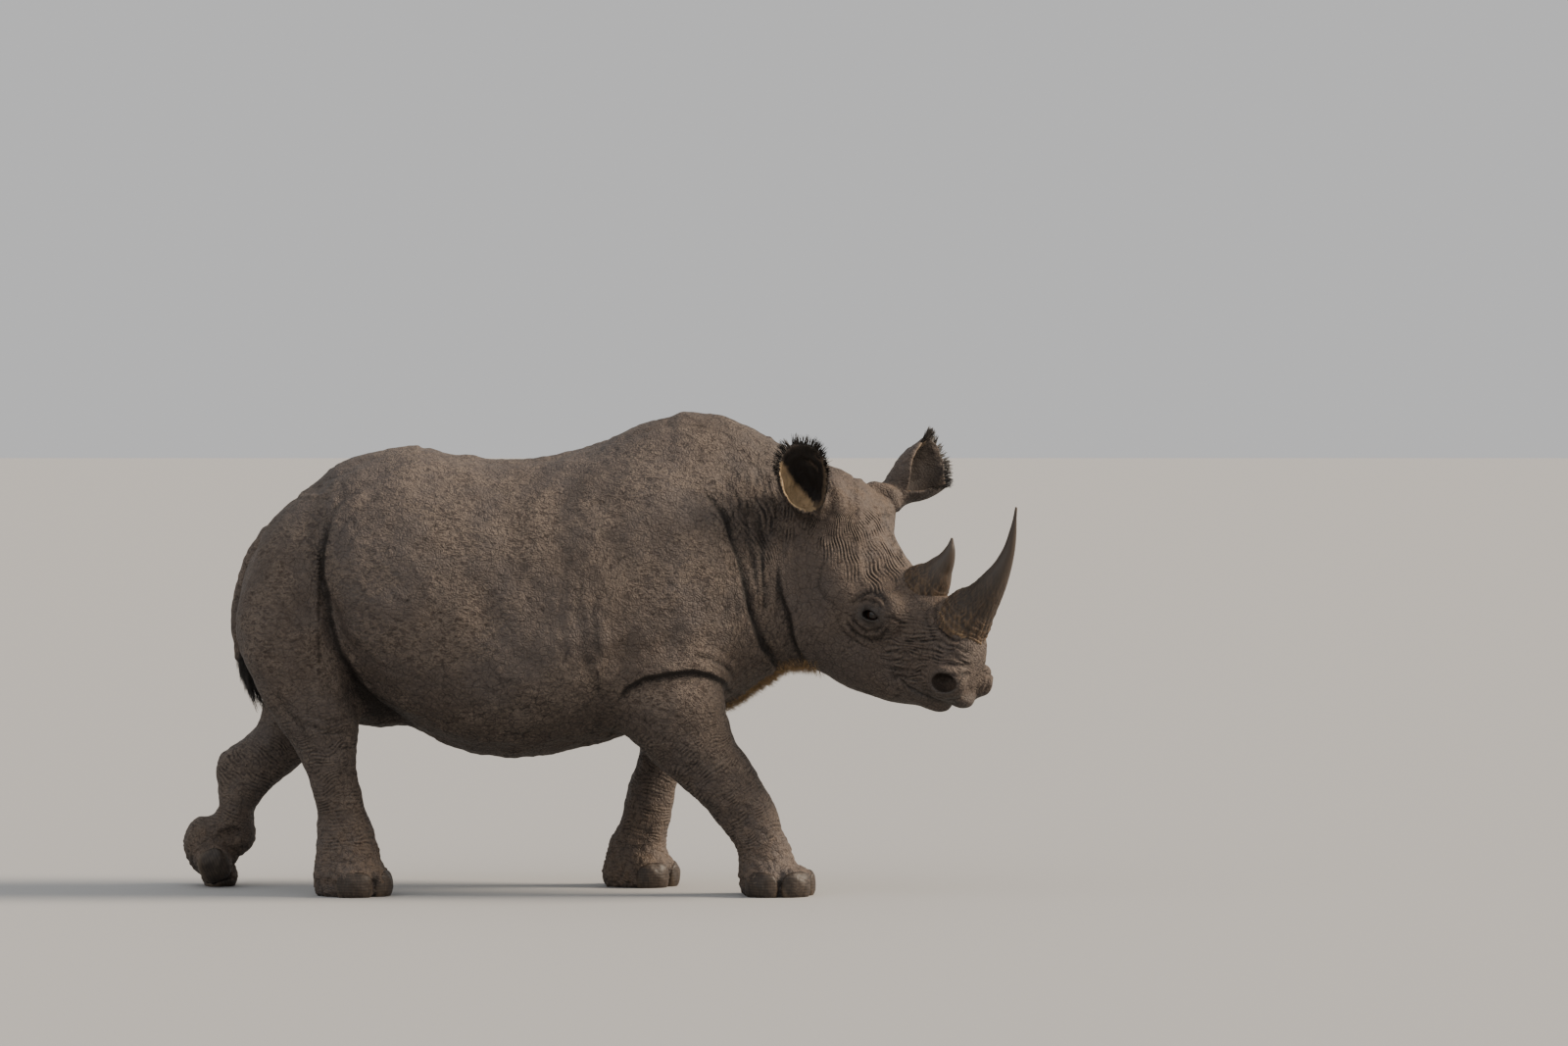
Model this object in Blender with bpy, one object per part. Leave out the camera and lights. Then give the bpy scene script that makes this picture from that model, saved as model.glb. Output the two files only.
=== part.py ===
"""Black rhinoceros, a still life-size model walking on level ground with its head turned to its right.

Metres, +X towards the head, +Y to the animal's left, +Z up. The middle of the model's box is over the origin and the
floor is at z = 0. The flesh is drawn as one field, whose value is about the distance to the skin: lofts for the barrel,
neck, head and legs and ellipsoids for the larger muscles, all blended. The field is meshed once, thinned, and parted
with thin cuts. Eyes, horns, nails and the tail's tuft are solids of their own, each seated in a hollow of its shape.
"""

import math

import bmesh
import bpy
import numpy as np
import openvdb
from mathutils import Matrix, Vector

# ---------------------------------------------------------------- driving sizes
WITHERS_HEIGHT = 1.575  # above the design level, which is FOOT_SOLE above the floor
BELLY_HALF_WIDTH = 0.445
FOOT_SPREAD = 0.225  # sideways from the middle of the body to each foot
FOOT_SOLE = -0.015
FACE_MIDDLE = (1.03, -0.26, 0.88)
TO_MIDDLE = (0.0187, 0.0051, -FOOT_SOLE)  # moves the finished model over the origin and onto the floor
GAP = 0.0004  # between two pieces that meet
BODY_VOXEL = 0.011
EAR_VOXEL = 0.0045
BODY_TRIANGLES = 4600
EAR_TRIANGLES = 300
EYE_RADIUS = 0.031

RIGHT, LEFT = -1, 1
SIDES = {"right": RIGHT, "left": LEFT}

# Barrel and belly: x, top, bottom, middle y, half width. Its rear end is the flank fold.
BARREL = [
    (-0.93, 1.33, 1.08, 0, 0.27),
    (-0.90, 1.385, 0.97, 0, 0.340),
    (-0.85, 1.415, 0.81, 0, 0.392),
    (-0.75, 1.445, 0.655, 0, 0.425),
    (-0.65, 1.466, 0.560, 0, 0.438),
    (-0.50, 1.447, 0.472, 0, 0.445),
    (-0.35, 1.430, 0.436, 0, BELLY_HALF_WIDTH),
    (-0.20, 1.435, 0.440, 0, 0.440),
    (0.00, 1.488, 0.485, 0, 0.425),
    (0.12, 1.541, 0.520, 0, 0.395),
    (0.26, WITHERS_HEIGHT, 0.560, 0, 0.345),
    (0.42, 1.556, 0.610, 0, 0.295),
    (0.55, 1.490, 0.70, 0, 0.235),
]
PELVIS = [
    (-1.14, 1.130, 0.72, 0, 0.16),
    (-1.08, 1.215, 0.66, 0, 0.205),
    (-1.00, 1.310, 0.60, 0, 0.255),
    (-0.90, 1.400, 0.56, 0, 0.285),
    (-0.80, 1.437, 0.54, 0, 0.300),
    (-0.62, 1.473, 0.54, 0, 0.32),
]
NECK = [
    (0.28, 1.566, 0.63, 0, 0.33),
    (0.42, 1.553, 0.64, 0, 0.285),
    (0.50, 1.515, 0.685, -0.005, 0.260),
    (0.60, 1.478, 0.725, -0.015, 0.235),
    (0.70, 1.435, 0.765, -0.035, 0.215),
    (0.78, 1.385, 0.82, -0.060, 0.19),
    (0.84, 1.340, 0.90, -0.080, 0.155),
]

# Legs: z, back, front, middle y out from the body's middle, half width
FORELEG_RIGHT = [
    (0.95, 0.10, 0.30, 0.190, 0.06),
    (0.86, 0.02, 0.36, 0.225, 0.105),
    (0.78, -0.01, 0.395, 0.245, 0.130),
    (0.68, 0.010, 0.405, 0.253, 0.142),
    (0.60, 0.035, 0.418, 0.252, 0.142),
    (0.55, 0.065, 0.430, 0.250, 0.134),
    (0.50, 0.105, 0.447, 0.247, 0.124),
    (0.45, 0.160, 0.480, 0.244, 0.113),
    (0.40, 0.210, 0.515, 0.241, 0.104),
    (0.34, 0.280, 0.548, 0.237, 0.096),
    (0.28, 0.345, 0.577, 0.233, 0.089),
    (0.20, 0.415, 0.602, 0.228, 0.083),
    (0.14, 0.450, 0.616, 0.225, 0.086),
    (0.06, 0.470, 0.640, 0.225, 0.092),
]
FORELEG_LEFT = [
    (0.95, 0.10, 0.30, 0.190, 0.06),
    (0.86, 0.02, 0.35, 0.225, 0.105),
    (0.78, -0.01, 0.385, 0.245, 0.130),
    (0.68, 0.015, 0.385, 0.253, 0.142),
    (0.60, 0.050, 0.375, 0.252, 0.140),
    (0.52, 0.100, 0.350, 0.246, 0.122),
    (0.46, 0.124, 0.315, 0.243, 0.107),
    (0.40, 0.112, 0.276, 0.240, 0.095),
    (0.34, 0.088, 0.250, 0.237, 0.088),
    (0.28, 0.074, 0.240, 0.233, 0.083),
    (0.20, 0.062, 0.222, 0.228, 0.082),
    (0.14, 0.058, 0.208, 0.225, 0.086),
    (0.06, 0.050, 0.210, 0.225, 0.092),
]
HINDLEG_RIGHT = [
    (1.30, -0.99, -0.82, 0.120, 0.09),
    (1.20, -1.078, -0.80, 0.145, 0.135),
    (1.10, -1.142, -0.81, 0.162, 0.160),
    (1.00, -1.188, -0.84, 0.176, 0.176),
    (0.90, -1.207, -0.85, 0.190, 0.180),
    (0.80, -1.194, -0.84, 0.202, 0.173),
    (0.70, -1.150, -0.818, 0.216, 0.156),
    (0.60, -1.100, -0.805, 0.228, 0.134),
    (0.50, -1.032, -0.810, 0.235, 0.106),
    (0.42, -0.988, -0.812, 0.236, 0.087),
    (0.35, -0.960, -0.802, 0.234, 0.078),
    (0.28, -0.942, -0.780, 0.230, 0.077),
    (0.20, -0.937, -0.755, 0.226, 0.083),
    (0.14, -0.940, -0.738, 0.225, 0.088),
    (0.06, -0.942, -0.730, 0.225, 0.092),
]
HINDLEG_LEFT = [
    (1.30, -0.99, -0.82, 0.120, 0.09),
    (1.20, -1.078, -0.80, 0.145, 0.135),
    (1.10, -1.142, -0.81, 0.162, 0.160),
    (1.00, -1.190, -0.84, 0.176, 0.176),
    (0.90, -1.210, -0.85, 0.190, 0.180),
    (0.80, -1.198, -0.845, 0.202, 0.173),
    (0.70, -1.175, -0.835, 0.216, 0.156),
    (0.62, -1.150, -0.855, 0.226, 0.136),
    (0.55, -1.160, -0.895, 0.232, 0.115),
    (0.48, -1.215, -0.945, 0.235, 0.097),
    (0.43, -1.290, -0.985, 0.235, 0.086),
    (0.38, -1.305, -1.045, 0.234, 0.080),
    (0.32, -1.300, -1.120, 0.231, 0.077),
    (0.26, -1.300, -1.170, 0.228, 0.077),
    (0.19, -1.315, -1.200, 0.226, 0.080),
]
LEGS = {
    "foreleg_right": (RIGHT, FORELEG_RIGHT, dict(x=0.572, turn=30)),
    "foreleg_left": (LEFT, FORELEG_LEFT, dict(x=0.122, turn=12)),
    "hindleg_right": (RIGHT, HINDLEG_RIGHT, dict(x=-0.825, turn=12)),
    "hindleg_left": (LEFT, HINDLEG_LEFT, dict(x=-1.362, turn=5, drop=68.0, lift=0.095)),
}

# Head, in its own frame: along from the eyes to the muzzle, top, bottom, middle, half width
HEAD_ORIGIN = (0.992, -0.18, 0.920)
HEAD_TURN = 36.0  # degrees to the animal's right
HEAD_DROP = 35.0  # degrees, nose down
HEAD = [
    (-0.50, 0.150, 0.04, 0, 0.10),
    (-0.46, 0.205, -0.01, 0, 0.140),
    (-0.42, 0.238, -0.08, 0, 0.163),
    (-0.36, 0.250, -0.185, 0, 0.175),
    (-0.28, 0.232, -0.274, 0, 0.175),
    (-0.20, 0.188, -0.312, 0, 0.168),
    (-0.10, 0.154, -0.320, 0, 0.160),
    (0.00, 0.146, -0.308, 0, 0.148),
    (0.08, 0.152, -0.280, 0, 0.128),
    (0.16, 0.165, -0.248, 0, 0.110),
    (0.24, 0.166, -0.200, 0, 0.103),
    (0.29, 0.150, -0.160, 0, 0.102),
    (0.335, 0.112, -0.128, 0, 0.096),
    (0.365, 0.070, -0.105, 0, 0.080),
    (0.385, 0.020, -0.080, 0, 0.045),
]
EYE_PLACE = (0.0, 0.134, 0.0)
# Horns, in the head's frame: along, up, radius fore and aft, radius across
HORN_FRONT = [
    (0.226, 0.130, 0.088, 0.080),
    (0.232, 0.180, 0.090, 0.075),
    (0.244, 0.240, 0.066, 0.058),
    (0.250, 0.318, 0.047, 0.043),
    (0.248, 0.376, 0.034, 0.031),
    (0.238, 0.431, 0.024, 0.022),
    (0.213, 0.498, 0.014, 0.014),
    (0.177, 0.567, 0.003, 0.003),
]
HORN_REAR = [
    (0.030, 0.125, 0.088, 0.070),
    (0.038, 0.168, 0.088, 0.064),
    (0.053, 0.205, 0.066, 0.050),
    (0.054, 0.250, 0.040, 0.036),
    (0.046, 0.295, 0.020, 0.020),
    (0.028, 0.335, 0.003, 0.003),
]
# Ears, in the head's frame: root, direction, and the way the opening faces
EARS = {
    "right": ((-0.380, -0.186, 0.172), (-0.25, -0.66, 0.70), (0.75, -0.55, 0.30)),
    "left": ((-0.356, 0.194, 0.212), (-0.11, 0.72, 0.685), (0.90, 0.0, 0.20)),
}
EAR_LENGTH = 0.260
# Ear: share of its length, radius of the roll, half angle of the roll in degrees, back of the roll, thickness
EAR = [
    (0.00, 0.022, 178, -0.026, 0.060),
    (0.09, 0.026, 176, -0.032, 0.056),
    (0.16, 0.044, 150, -0.048, 0.034),
    (0.25, 0.066, 125, -0.061, 0.017),
    (0.38, 0.080, 106, -0.068, 0.012),
    (0.55, 0.086, 95, -0.068, 0.010),
    (0.72, 0.085, 82, -0.062, 0.009),
    (0.86, 0.081, 62, -0.053, 0.008),
    (0.95, 0.077, 36, -0.046, 0.007),
    (1.00, 0.075, 4, -0.043, 0.006),
]
# Tail and its tuft: x, z, radius fore and aft, radius across
TAIL = [
    (-1.105, 1.165, 0.040, 0.050),
    (-1.155, 1.080, 0.042, 0.048),
    (-1.193, 0.980, 0.036, 0.042),
    (-1.212, 0.870, 0.028, 0.032),
    (-1.206, 0.765, 0.022, 0.024),
]
TAIL_TUFT = [
    (-1.209, 0.800, 0.026, 0.030),
    (-1.200, 0.735, 0.026, 0.034),
    (-1.175, 0.670, 0.028, 0.038),
    (-1.150, 0.615, 0.018, 0.030),
    (-1.138, 0.580, 0.005, 0.008),
]

TOE_ANGLES = {"inner": -70.0, "middle": 0.0, "outer": 70.0}  # outward
TOE_OUT, TOE_HEIGHT = 0.080, 0.042
TOE_RADII = (0.052, 0.052, 0.056)

NAIL_THICKNESS = 0.007
# Cuts that leave the nail from its ellipsoid: place and outward normal in the toe's frame
NAIL_CUTS = [
    ((0.016, 0, 0), (-1, 0, 0.25)),
    ((0.0, 0, 0.030), (-0.35, 0, 1)),
    ((0, 0.038, 0), (-0.3, 1, 0.2)),
    ((0, -0.038, 0), (-0.3, -1, 0.2)),
]

# Where the body is parted
HEAD_CUT_PLACE, HEAD_CUT_TILT = (-0.47, 0, 0.22), -21.0
NECK_CUT_PLACE, NECK_CUT_TILT = (0.36, 0, 1.56), -8.5
# Each leg's block: its back and front at the floor, and how far it leans back for each metre of height
LEG_CUTS = {
    "foreleg_right": (-0.05, 0.85, 0.0),
    "foreleg_left": (-0.05, 0.60, 0.0),
    "hindleg_right": (-1.60, -0.62, 0.3),
    "hindleg_left": (-1.60, -0.62, 0.3),
}

# Long folds on the body's side: depth, half width, path of x and z
FOLDS = [
    (0.016, 0.020, [(-0.905, 1.27), (-0.925, 1.18), (-0.912, 1.06), (-0.89, 0.92), (-0.85, 0.80), (-0.79, 0.70)]),
    (0.012, 0.024, [(0.33, 1.40), (0.38, 1.28), (0.43, 1.15), (0.47, 1.0), (0.49, 0.88), (0.53, 0.79), (0.56, 0.76)]),
    (0.012, 0.022, [(0.52, 1.36), (0.56, 1.20), (0.58, 1.02), (0.585, 0.88), (0.60, 0.78)]),
    (0.010, 0.026, [(-0.01, 1.08), (-0.06, 0.94), (-0.065, 0.84), (-0.04, 0.74), (0.01, 0.62), (0.07, 0.53)]),
    (0.014, 0.020, [(0.10, 0.675), (0.15, 0.705), (0.22, 0.724), (0.30, 0.727), (0.37, 0.71), (0.42, 0.665)]),
]


# ---------------------------------------------------------------- field tools
def smooth_rows(rows, at):
    """Columns of rows, read at the places at of their first column, on smooth curves that are flat past the ends."""
    rows = np.array(rows, float)
    rows = rows[np.argsort(rows[:, 0])]
    knots, values = rows[:, 0], rows[:, 1:]
    slopes = np.gradient(values, knots, axis=0)
    at = np.clip(at, knots[0], knots[-1])
    i = np.clip(np.searchsorted(knots, at) - 1, 0, len(knots) - 2)
    step = knots[i + 1] - knots[i]
    u = (at - knots[i]) / step
    a, b = (1 + 2 * u) * (1 - u) ** 2, u * (1 - u) ** 2
    c, d = u * u * (3 - 2 * u), u * u * (u - 1)
    u0, u1 = values[i], values[i + 1]
    s0, s1 = slopes[i] * step[:, None], slopes[i + 1] * step[:, None]
    return (a[:, None] * u0 + b[:, None] * s0 + c[:, None] * u1 + d[:, None] * s1).T


def blend(a, b, reach):
    """Union of two fields, with their meeting filled out over reach."""
    close = np.maximum(reach - np.abs(a - b), 0) / reach
    return np.minimum(a, b) - close * close * reach / 4


def as_distance(field, p, step=0.002):
    """A field that is only zero on the surface, made about as long as the distance to it."""
    here = field(p)
    slope = 0.0
    for axis in range(3):
        ahead = p.copy()
        ahead[:, axis] += step
        slope = slope + (field(ahead) - here) ** 2
    return here / np.maximum(np.sqrt(slope) / step, 1.0)


def loft(p, rows, power=2.3, taper=0.0):
    """Body of rounded sections along p's first axis: rows hold the place, high, low, middle across and half width."""

    def section(q):
        one, two, middle, half = smooth_rows(rows, q[:, 0])
        up = (q[:, 2] - (one + two) / 2) / (np.abs(one - two) / 2)
        wide = half * (1 - taper * np.clip(up, -1, 1))
        out = np.abs(q[:, 1] - middle) / wide
        return (np.abs(up) ** power + out**power) ** (1 / power) - 1

    ends = [row[0] for row in rows]
    d = as_distance(section, p)
    return np.maximum(d, np.maximum(min(ends) - p[:, 0], p[:, 0] - max(ends)))


def ellipsoid(p, centre, radii, turn=None):
    q = p - np.array(centre)
    if turn is not None:
        q = q @ np.array(turn)
    r = np.array(radii)
    k0 = np.linalg.norm(q / r, axis=1)
    k1 = np.linalg.norm(q / (r * r), axis=1)
    return k0 * (k0 - 1) / np.maximum(k1, 1e-6)


def limb(p, joints, pieces=4):
    """Tapering tube through joints, each x, y, z and radius."""
    rows = np.column_stack([np.arange(len(joints)), joints])
    spine = smooth_rows(rows, np.linspace(0, len(joints) - 1, (len(joints) - 1) * pieces + 1)).T
    d = np.full(len(p), 1e3)
    for a, b in zip(spine[:-1], spine[1:]):
        run = b[:3] - a[:3]
        t = np.clip((p - a[:3]) @ run / (run @ run), 0, 1)
        away = np.linalg.norm(p - a[:3] - t[:, None] * run, axis=1)
        d = np.minimum(d, away - (a[3] + t * (b[3] - a[3])))
    return d


def groove(p, depth, half_width, path):
    """How far a fold along a path on the side of the body pushes the skin in."""
    away, along = np.full(len(p), 1.0), np.zeros(len(p))
    q = p[:, [0, 2]]
    path = np.array(path)
    for i, (a, b) in enumerate(zip(path[:-1], path[1:])):
        run = b - a
        t = np.clip((q - a) @ run / (run @ run), 0, 1)
        d = np.linalg.norm(q - a - t[:, None] * run, axis=1)
        along = np.where(d < away, (i + t) / (len(path) - 1), along)
        away = np.minimum(away, d)
    ends = np.clip(4 * np.minimum(along, 1 - along), 0, 1)
    return depth * ends * np.exp(-((away / half_width) ** 2)) * np.clip((np.abs(p[:, 1]) - 0.08) / 0.08, 0, 1)


def boxed(p, low, high, field):
    """The field inside a box, and a large distance outside it."""
    inside = np.all((p > np.array(low)) & (p < np.array(high)), axis=1)
    d = np.full(len(p), 1.0)
    d[inside] = field(p[inside])
    return d


# ---------------------------------------------------------------- frames
def head_frame():
    """Head frame to body frame: x along the muzzle, y to the animal's left, z out of the forehead."""
    turn = Matrix.Rotation(-math.radians(HEAD_TURN), 4, "Z")
    drop = Matrix.Rotation(math.radians(HEAD_DROP), 4, "Y")
    return Matrix.Translation(HEAD_ORIGIN) @ turn @ drop


def foot_frame(side, x, turn=0.0, drop=0.0, lift=0.0):
    """Foot frame to body frame: x to the toes, z up, origin on the sole. Turn is outward and drop is toes down."""
    at = Matrix.Translation((x, side * FOOT_SPREAD, FOOT_SOLE + lift))
    return at @ Matrix.Rotation(math.radians(side * turn), 4, "Z") @ Matrix.Rotation(math.radians(drop), 4, "Y")


def ear_frame(root, axis, facing):
    """Ear frame to body frame: z from the root to the tip, x out of the opening."""
    z = Vector(axis).normalized()
    x = Vector(facing)
    x = (x - z * x.dot(z)).normalized()
    turn = Matrix([x, z.cross(x), z]).transposed().to_4x4()
    return head_frame() @ Matrix.Translation(root) @ turn


def cut_frame(at, tilt, within=Matrix.Identity(4)):
    """Frame whose y-z plane parts the body: x goes into the piece in front."""
    return within @ Matrix.Translation(at) @ Matrix.Rotation(math.radians(tilt), 4, "Y")


def to_local(p, frame):
    m = np.array(frame.inverted())
    return p @ m[:3, :3].T + m[:3, 3]


# ---------------------------------------------------------------- flesh
def trunk(p):
    d = loft(p, PELVIS, taper=0.10)
    for side in SIDES.values():
        haunch = ellipsoid(p, (-0.99, side * 0.175, 0.95), (0.165, 0.180, 0.33))
        d = blend(d, haunch, 0.08)
    d = blend(d, loft(p, BARREL, taper=0.14), 0.03)
    for side in SIDES.values():
        shoulder = ellipsoid(p, (0.20, side * 0.205, 1.00), (0.25, 0.172, 0.36))
        d = blend(d, shoulder, 0.10)
    return d


def head(p):
    q = to_local(p, head_frame())
    d = loft(q, HEAD, power=2.4, taper=0.12)
    for side in SIDES.values():
        cheek = ellipsoid(q, (-0.19, side * 0.105, -0.12), (0.17, 0.085, 0.165))
        arch = [(-0.36, 0.140, 0.08, 0.05), (-0.20, 0.150, 0.02, 0.042), (-0.05, 0.125, -0.045, 0.036)]
        arch = limb(q * [1, side, 1], arch)
        orbit = ellipsoid(q, (-0.005, side * 0.115, 0.012), (0.088, 0.052, 0.080))
        nose = ellipsoid(q, (0.315, side * 0.070, -0.040), (0.062, 0.042, 0.056))
        root = limb(q * [1, side, 1], [(-0.33, 0.11, 0.15, 0.07), (-0.370, 0.182, 0.203, 0.050)])
        for mass, reach in ((cheek, 0.06), (arch, 0.06), (orbit, 0.04), (nose, 0.04), (root, 0.06)):
            d = blend(d, mass, reach)
    lip = ellipsoid(q, (0.350, 0, -0.078), (0.056, 0.056, 0.036))
    chin = ellipsoid(q, (0.255, 0, -0.141), (0.085, 0.066, 0.045))
    d = blend(d, blend(lip, chin, 0.01), 0.03)
    for side in SIDES.values():
        socket = ellipsoid(q, np.array(EYE_PLACE) * [1, side, 1] + [0, side * 0.038, 0], (0.036, 0.024, 0.026))
        nostril = ellipsoid(q, (0.335, side * 0.112, -0.052), (0.032, 0.032, 0.022))
        d = np.maximum(d, -np.minimum(socket, nostril))
    return d


def foot(p, frame):
    q = to_local(p, frame)
    d = ellipsoid(q, (-0.015, 0, 0.035), (0.108, 0.098, 0.072))
    d = blend(d, limb(q, [(-0.022, 0, 0.07, 0.085), (-0.040, 0, 0.14, 0.078)]), 0.04)
    for angle in TOE_ANGLES.values():
        a = math.radians(angle)
        centre = (TOE_OUT * math.cos(a), TOE_OUT * math.sin(a), TOE_HEIGHT)
        d = blend(d, ellipsoid(q, centre, TOE_RADII, Matrix.Rotation(a, 3, "Z")), 0.018)
    return d


def leg(p, name):
    side, rows, stance = LEGS[name]
    q = (p * [1, side, 1])[:, [2, 1, 0]]
    return blend(loft(q, rows, power=2.2), foot(p, foot_frame(side, **stance)), 0.04)


def legs(p):
    d = np.full(len(p), 1.0)
    for name, (side, rows, _) in LEGS.items():
        rows = np.array(rows)
        low = (rows[:, 1].min() - 0.3, min(-0.1 * side, 0.65 * side), -0.2)
        high = (rows[:, 2].max() + 0.3, max(-0.1 * side, 0.65 * side), rows[:, 0].max() + 0.1)
        d = np.minimum(d, boxed(p, low, high, lambda q: leg(q, name)))
    return d


def flesh(p):
    neck = boxed(p, (0.1, -0.6, 0.4), (1.1, 0.6, 1.8), lambda q: loft(q, NECK, taper=0.25))
    d = blend(trunk(p), neck, 0.06)
    d = blend(d, boxed(p, (0.3, -0.9, 0.3), (1.6, 0.5, 1.7), head), 0.09)
    d = blend(d, legs(p), 0.06)
    for fold in FOLDS:
        d = d + groove(p, *fold)
    return np.maximum(d, FOOT_SOLE - 0.01 - p[:, 2])


def ear(p):
    """Rolled shell in the ear's frame."""

    def shell(q):
        radius, angle, back, thick = smooth_rows(EAR, q[:, 2] / EAR_LENGTH)
        x, y = q[:, 0] - (back + radius), np.abs(q[:, 1])
        open_at = np.radians(np.clip(angle, 2, 178))
        turn = np.arctan2(y, -x)
        on_wall = np.abs(np.hypot(x, y) - radius)
        at_rim = np.hypot(x + radius * np.cos(open_at), y - radius * np.sin(open_at))
        return np.where(turn < open_at, on_wall, at_rim) - thick / 2

    d = as_distance(shell, p)
    return np.maximum(d, np.maximum(-p[:, 2], p[:, 2] - EAR_LENGTH))


# ---------------------------------------------------------------- meshing
def mesh_of(field, low, high, voxel, block=8):
    """Points and quads of the surface where the field is zero, inside a box. Blocks far from it aren't sampled."""
    low, high = np.array(low, float), np.array(high, float)
    side = block * voxel
    count = np.ceil((high - low) / side).astype(int)
    corners = np.stack(np.meshgrid(*[np.arange(n) for n in count], indexing="ij"), -1).reshape(-1, 3)
    middle = field(low + (corners + 0.5) * side)
    sign = np.where(middle < 0, -1.0, 1.0).astype(np.float32).reshape(count)
    values = sign.repeat(block, 0).repeat(block, 1).repeat(block, 2)
    steps = np.stack(np.meshgrid(*[np.arange(block)] * 3, indexing="ij"), -1).reshape(-1, 3)
    busy = corners[np.abs(middle) < 1.15 * side]
    for start in range(0, len(busy), 256):
        index = (busy[start : start + 256, None, :] * block + steps).reshape(-1, 3)
        values[tuple(index.T)] = field(low + index * voxel)
    grid = openvdb.FloatGrid(1.0)
    grid.copyFromArray(values)
    points, quads = grid.convertToQuads(0.0)
    return points * voxel + low, quads


def collection(name, helper=False):
    made = bpy.data.collections.new(name)
    bpy.context.scene.collection.children.link(made)
    made.hide_render = helper
    return made


def material(name, colour, roughness, metallic=0.0):
    made = bpy.data.materials.new(name)
    made.use_nodes = True
    shader = made.node_tree.nodes["Principled BSDF"]
    shader.inputs["Base Color"].default_value = (*colour, 1)
    shader.inputs["Roughness"].default_value = roughness
    shader.inputs["Metallic"].default_value = metallic
    made.diffuse_color = (*colour, 1)
    return made


def place(name, mesh, where, look=None):
    obj = bpy.data.objects.new(name, mesh)
    where.objects.link(obj)
    if look:
        mesh.materials.clear()
        mesh.materials.append(look)
    if where.hide_render:
        obj.hide_render = True
        obj.display_type = "WIRE"
    return obj


def baked(obj):
    """The object's mesh with its modifiers applied; the object itself is removed."""
    graph = bpy.context.evaluated_depsgraph_get()
    mesh = bpy.data.meshes.new_from_object(obj.evaluated_get(graph), depsgraph=graph)
    bpy.data.objects.remove(obj)
    return mesh


def thinned(points, quads, triangles, keep=None):
    """A mesh of about this many triangles, levelled off at the soles. It stays finer where keep(points) is high."""
    mesh = bpy.data.meshes.new("flesh")
    mesh.from_pydata(points.tolist(), [], quads.tolist())
    obj = place("flesh", mesh, bpy.context.scene.collection)
    decimate = obj.modifiers.new("thin", "DECIMATE")
    decimate.ratio = triangles / (2 * len(quads))
    if keep:
        group = obj.vertex_groups.new(name="coarse")
        for i, weight in enumerate(1 - keep(points)):
            group.add([i], weight, "REPLACE")
        decimate.vertex_group = group.name
        decimate.vertex_group_factor = 1.0
    return levelled(baked(obj))


def fine_places(points):
    """High on the face and the feet."""
    face = np.linalg.norm(points - np.array(FACE_MIDDLE), axis=1)
    return np.clip(1 - (face - 0.25) / 0.25, 0, 1) * 0.12 + np.where(points[:, 2] < 0.12, 0.12, 0.0)


def settled(obj):
    """The object with its modifiers applied and the crumbs that they left removed."""
    look, where = obj.data.materials[0], obj.users_collection[0]
    name = obj.name
    mesh = baked(obj)
    shape = bmesh.new()
    shape.from_mesh(mesh)
    unseen, bodies = set(shape.verts), []
    while unseen:
        body, edge = set(), [unseen.pop()]
        while edge:
            vert = edge.pop()
            body.add(vert)
            for e in vert.link_edges:
                other = e.other_vert(vert)
                if other in unseen:
                    unseen.remove(other)
                    edge.append(other)
        bodies.append(body)
    bodies.sort(key=len)
    bmesh.ops.delete(shape, geom=[v for body in bodies[:-1] for v in body], context="VERTS")
    shape.to_mesh(mesh)
    shape.free()
    return place(name, mesh, where, look)


def levelled(mesh):
    """The mesh cut off flat at the level of the soles, and closed there."""
    shape = bmesh.new()
    shape.from_mesh(mesh)
    whole = shape.verts[:] + shape.edges[:] + shape.faces[:]
    cut = bmesh.ops.bisect_plane(shape, geom=whole, plane_co=(0, 0, FOOT_SOLE), plane_no=(0, 0, -1), clear_outer=True)
    rim = [e for e in cut["geom_cut"] if isinstance(e, bmesh.types.BMEdge)]
    if rim:
        bmesh.ops.edgeloop_fill(shape, edges=rim)
    bmesh.ops.triangulate(shape, faces=shape.faces)
    bmesh.ops.recalc_face_normals(shape, faces=shape.faces)
    shape.to_mesh(mesh)
    shape.free()
    return mesh


def tube(rows, frame, sides):
    """Closed tube along rows of x, z, radius fore and aft and radius across, in a frame's x-z plane."""
    rows = np.array(rows)
    run = np.gradient(rows[:, :2], axis=0)
    run /= np.linalg.norm(run, axis=1)[:, None]
    angles = np.linspace(0, 2 * np.pi, sides, endpoint=False)
    points = []
    for (x, z, fore, across), (dx, dz) in zip(rows, run):
        for a in angles:
            points.append(frame @ Vector((x + fore * math.cos(a) * dz, across * math.sin(a), z - fore * math.cos(a) * dx)))
    faces = [tuple(range(sides)), tuple(range(len(points) - 1, len(points) - 1 - sides, -1))]
    for i in range(len(rows) - 1):
        for j in range(sides):
            k = (j + 1) % sides
            faces.append((i * sides + k, i * sides + j, (i + 1) * sides + j, (i + 1) * sides + k))
    return closed_mesh(points, faces)


def closed_mesh(points, faces):
    shape = bmesh.new()
    corners = [shape.verts.new(p) for p in points]
    for face in faces:
        shape.faces.new([corners[i] for i in face])
    bmesh.ops.triangulate(shape, faces=shape.faces)
    bmesh.ops.recalc_face_normals(shape, faces=shape.faces)
    mesh = bpy.data.meshes.new("solid")
    shape.to_mesh(mesh)
    shape.free()
    return mesh


def ball(radii, frame, fineness):
    shape = bmesh.new()
    bmesh.ops.create_icosphere(shape, subdivisions=fineness, radius=1)
    bmesh.ops.transform(shape, matrix=frame @ Matrix.Diagonal((*radii, 1)), verts=shape.verts)
    mesh = bpy.data.meshes.new("ball")
    shape.to_mesh(mesh)
    shape.free()
    return mesh


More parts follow.
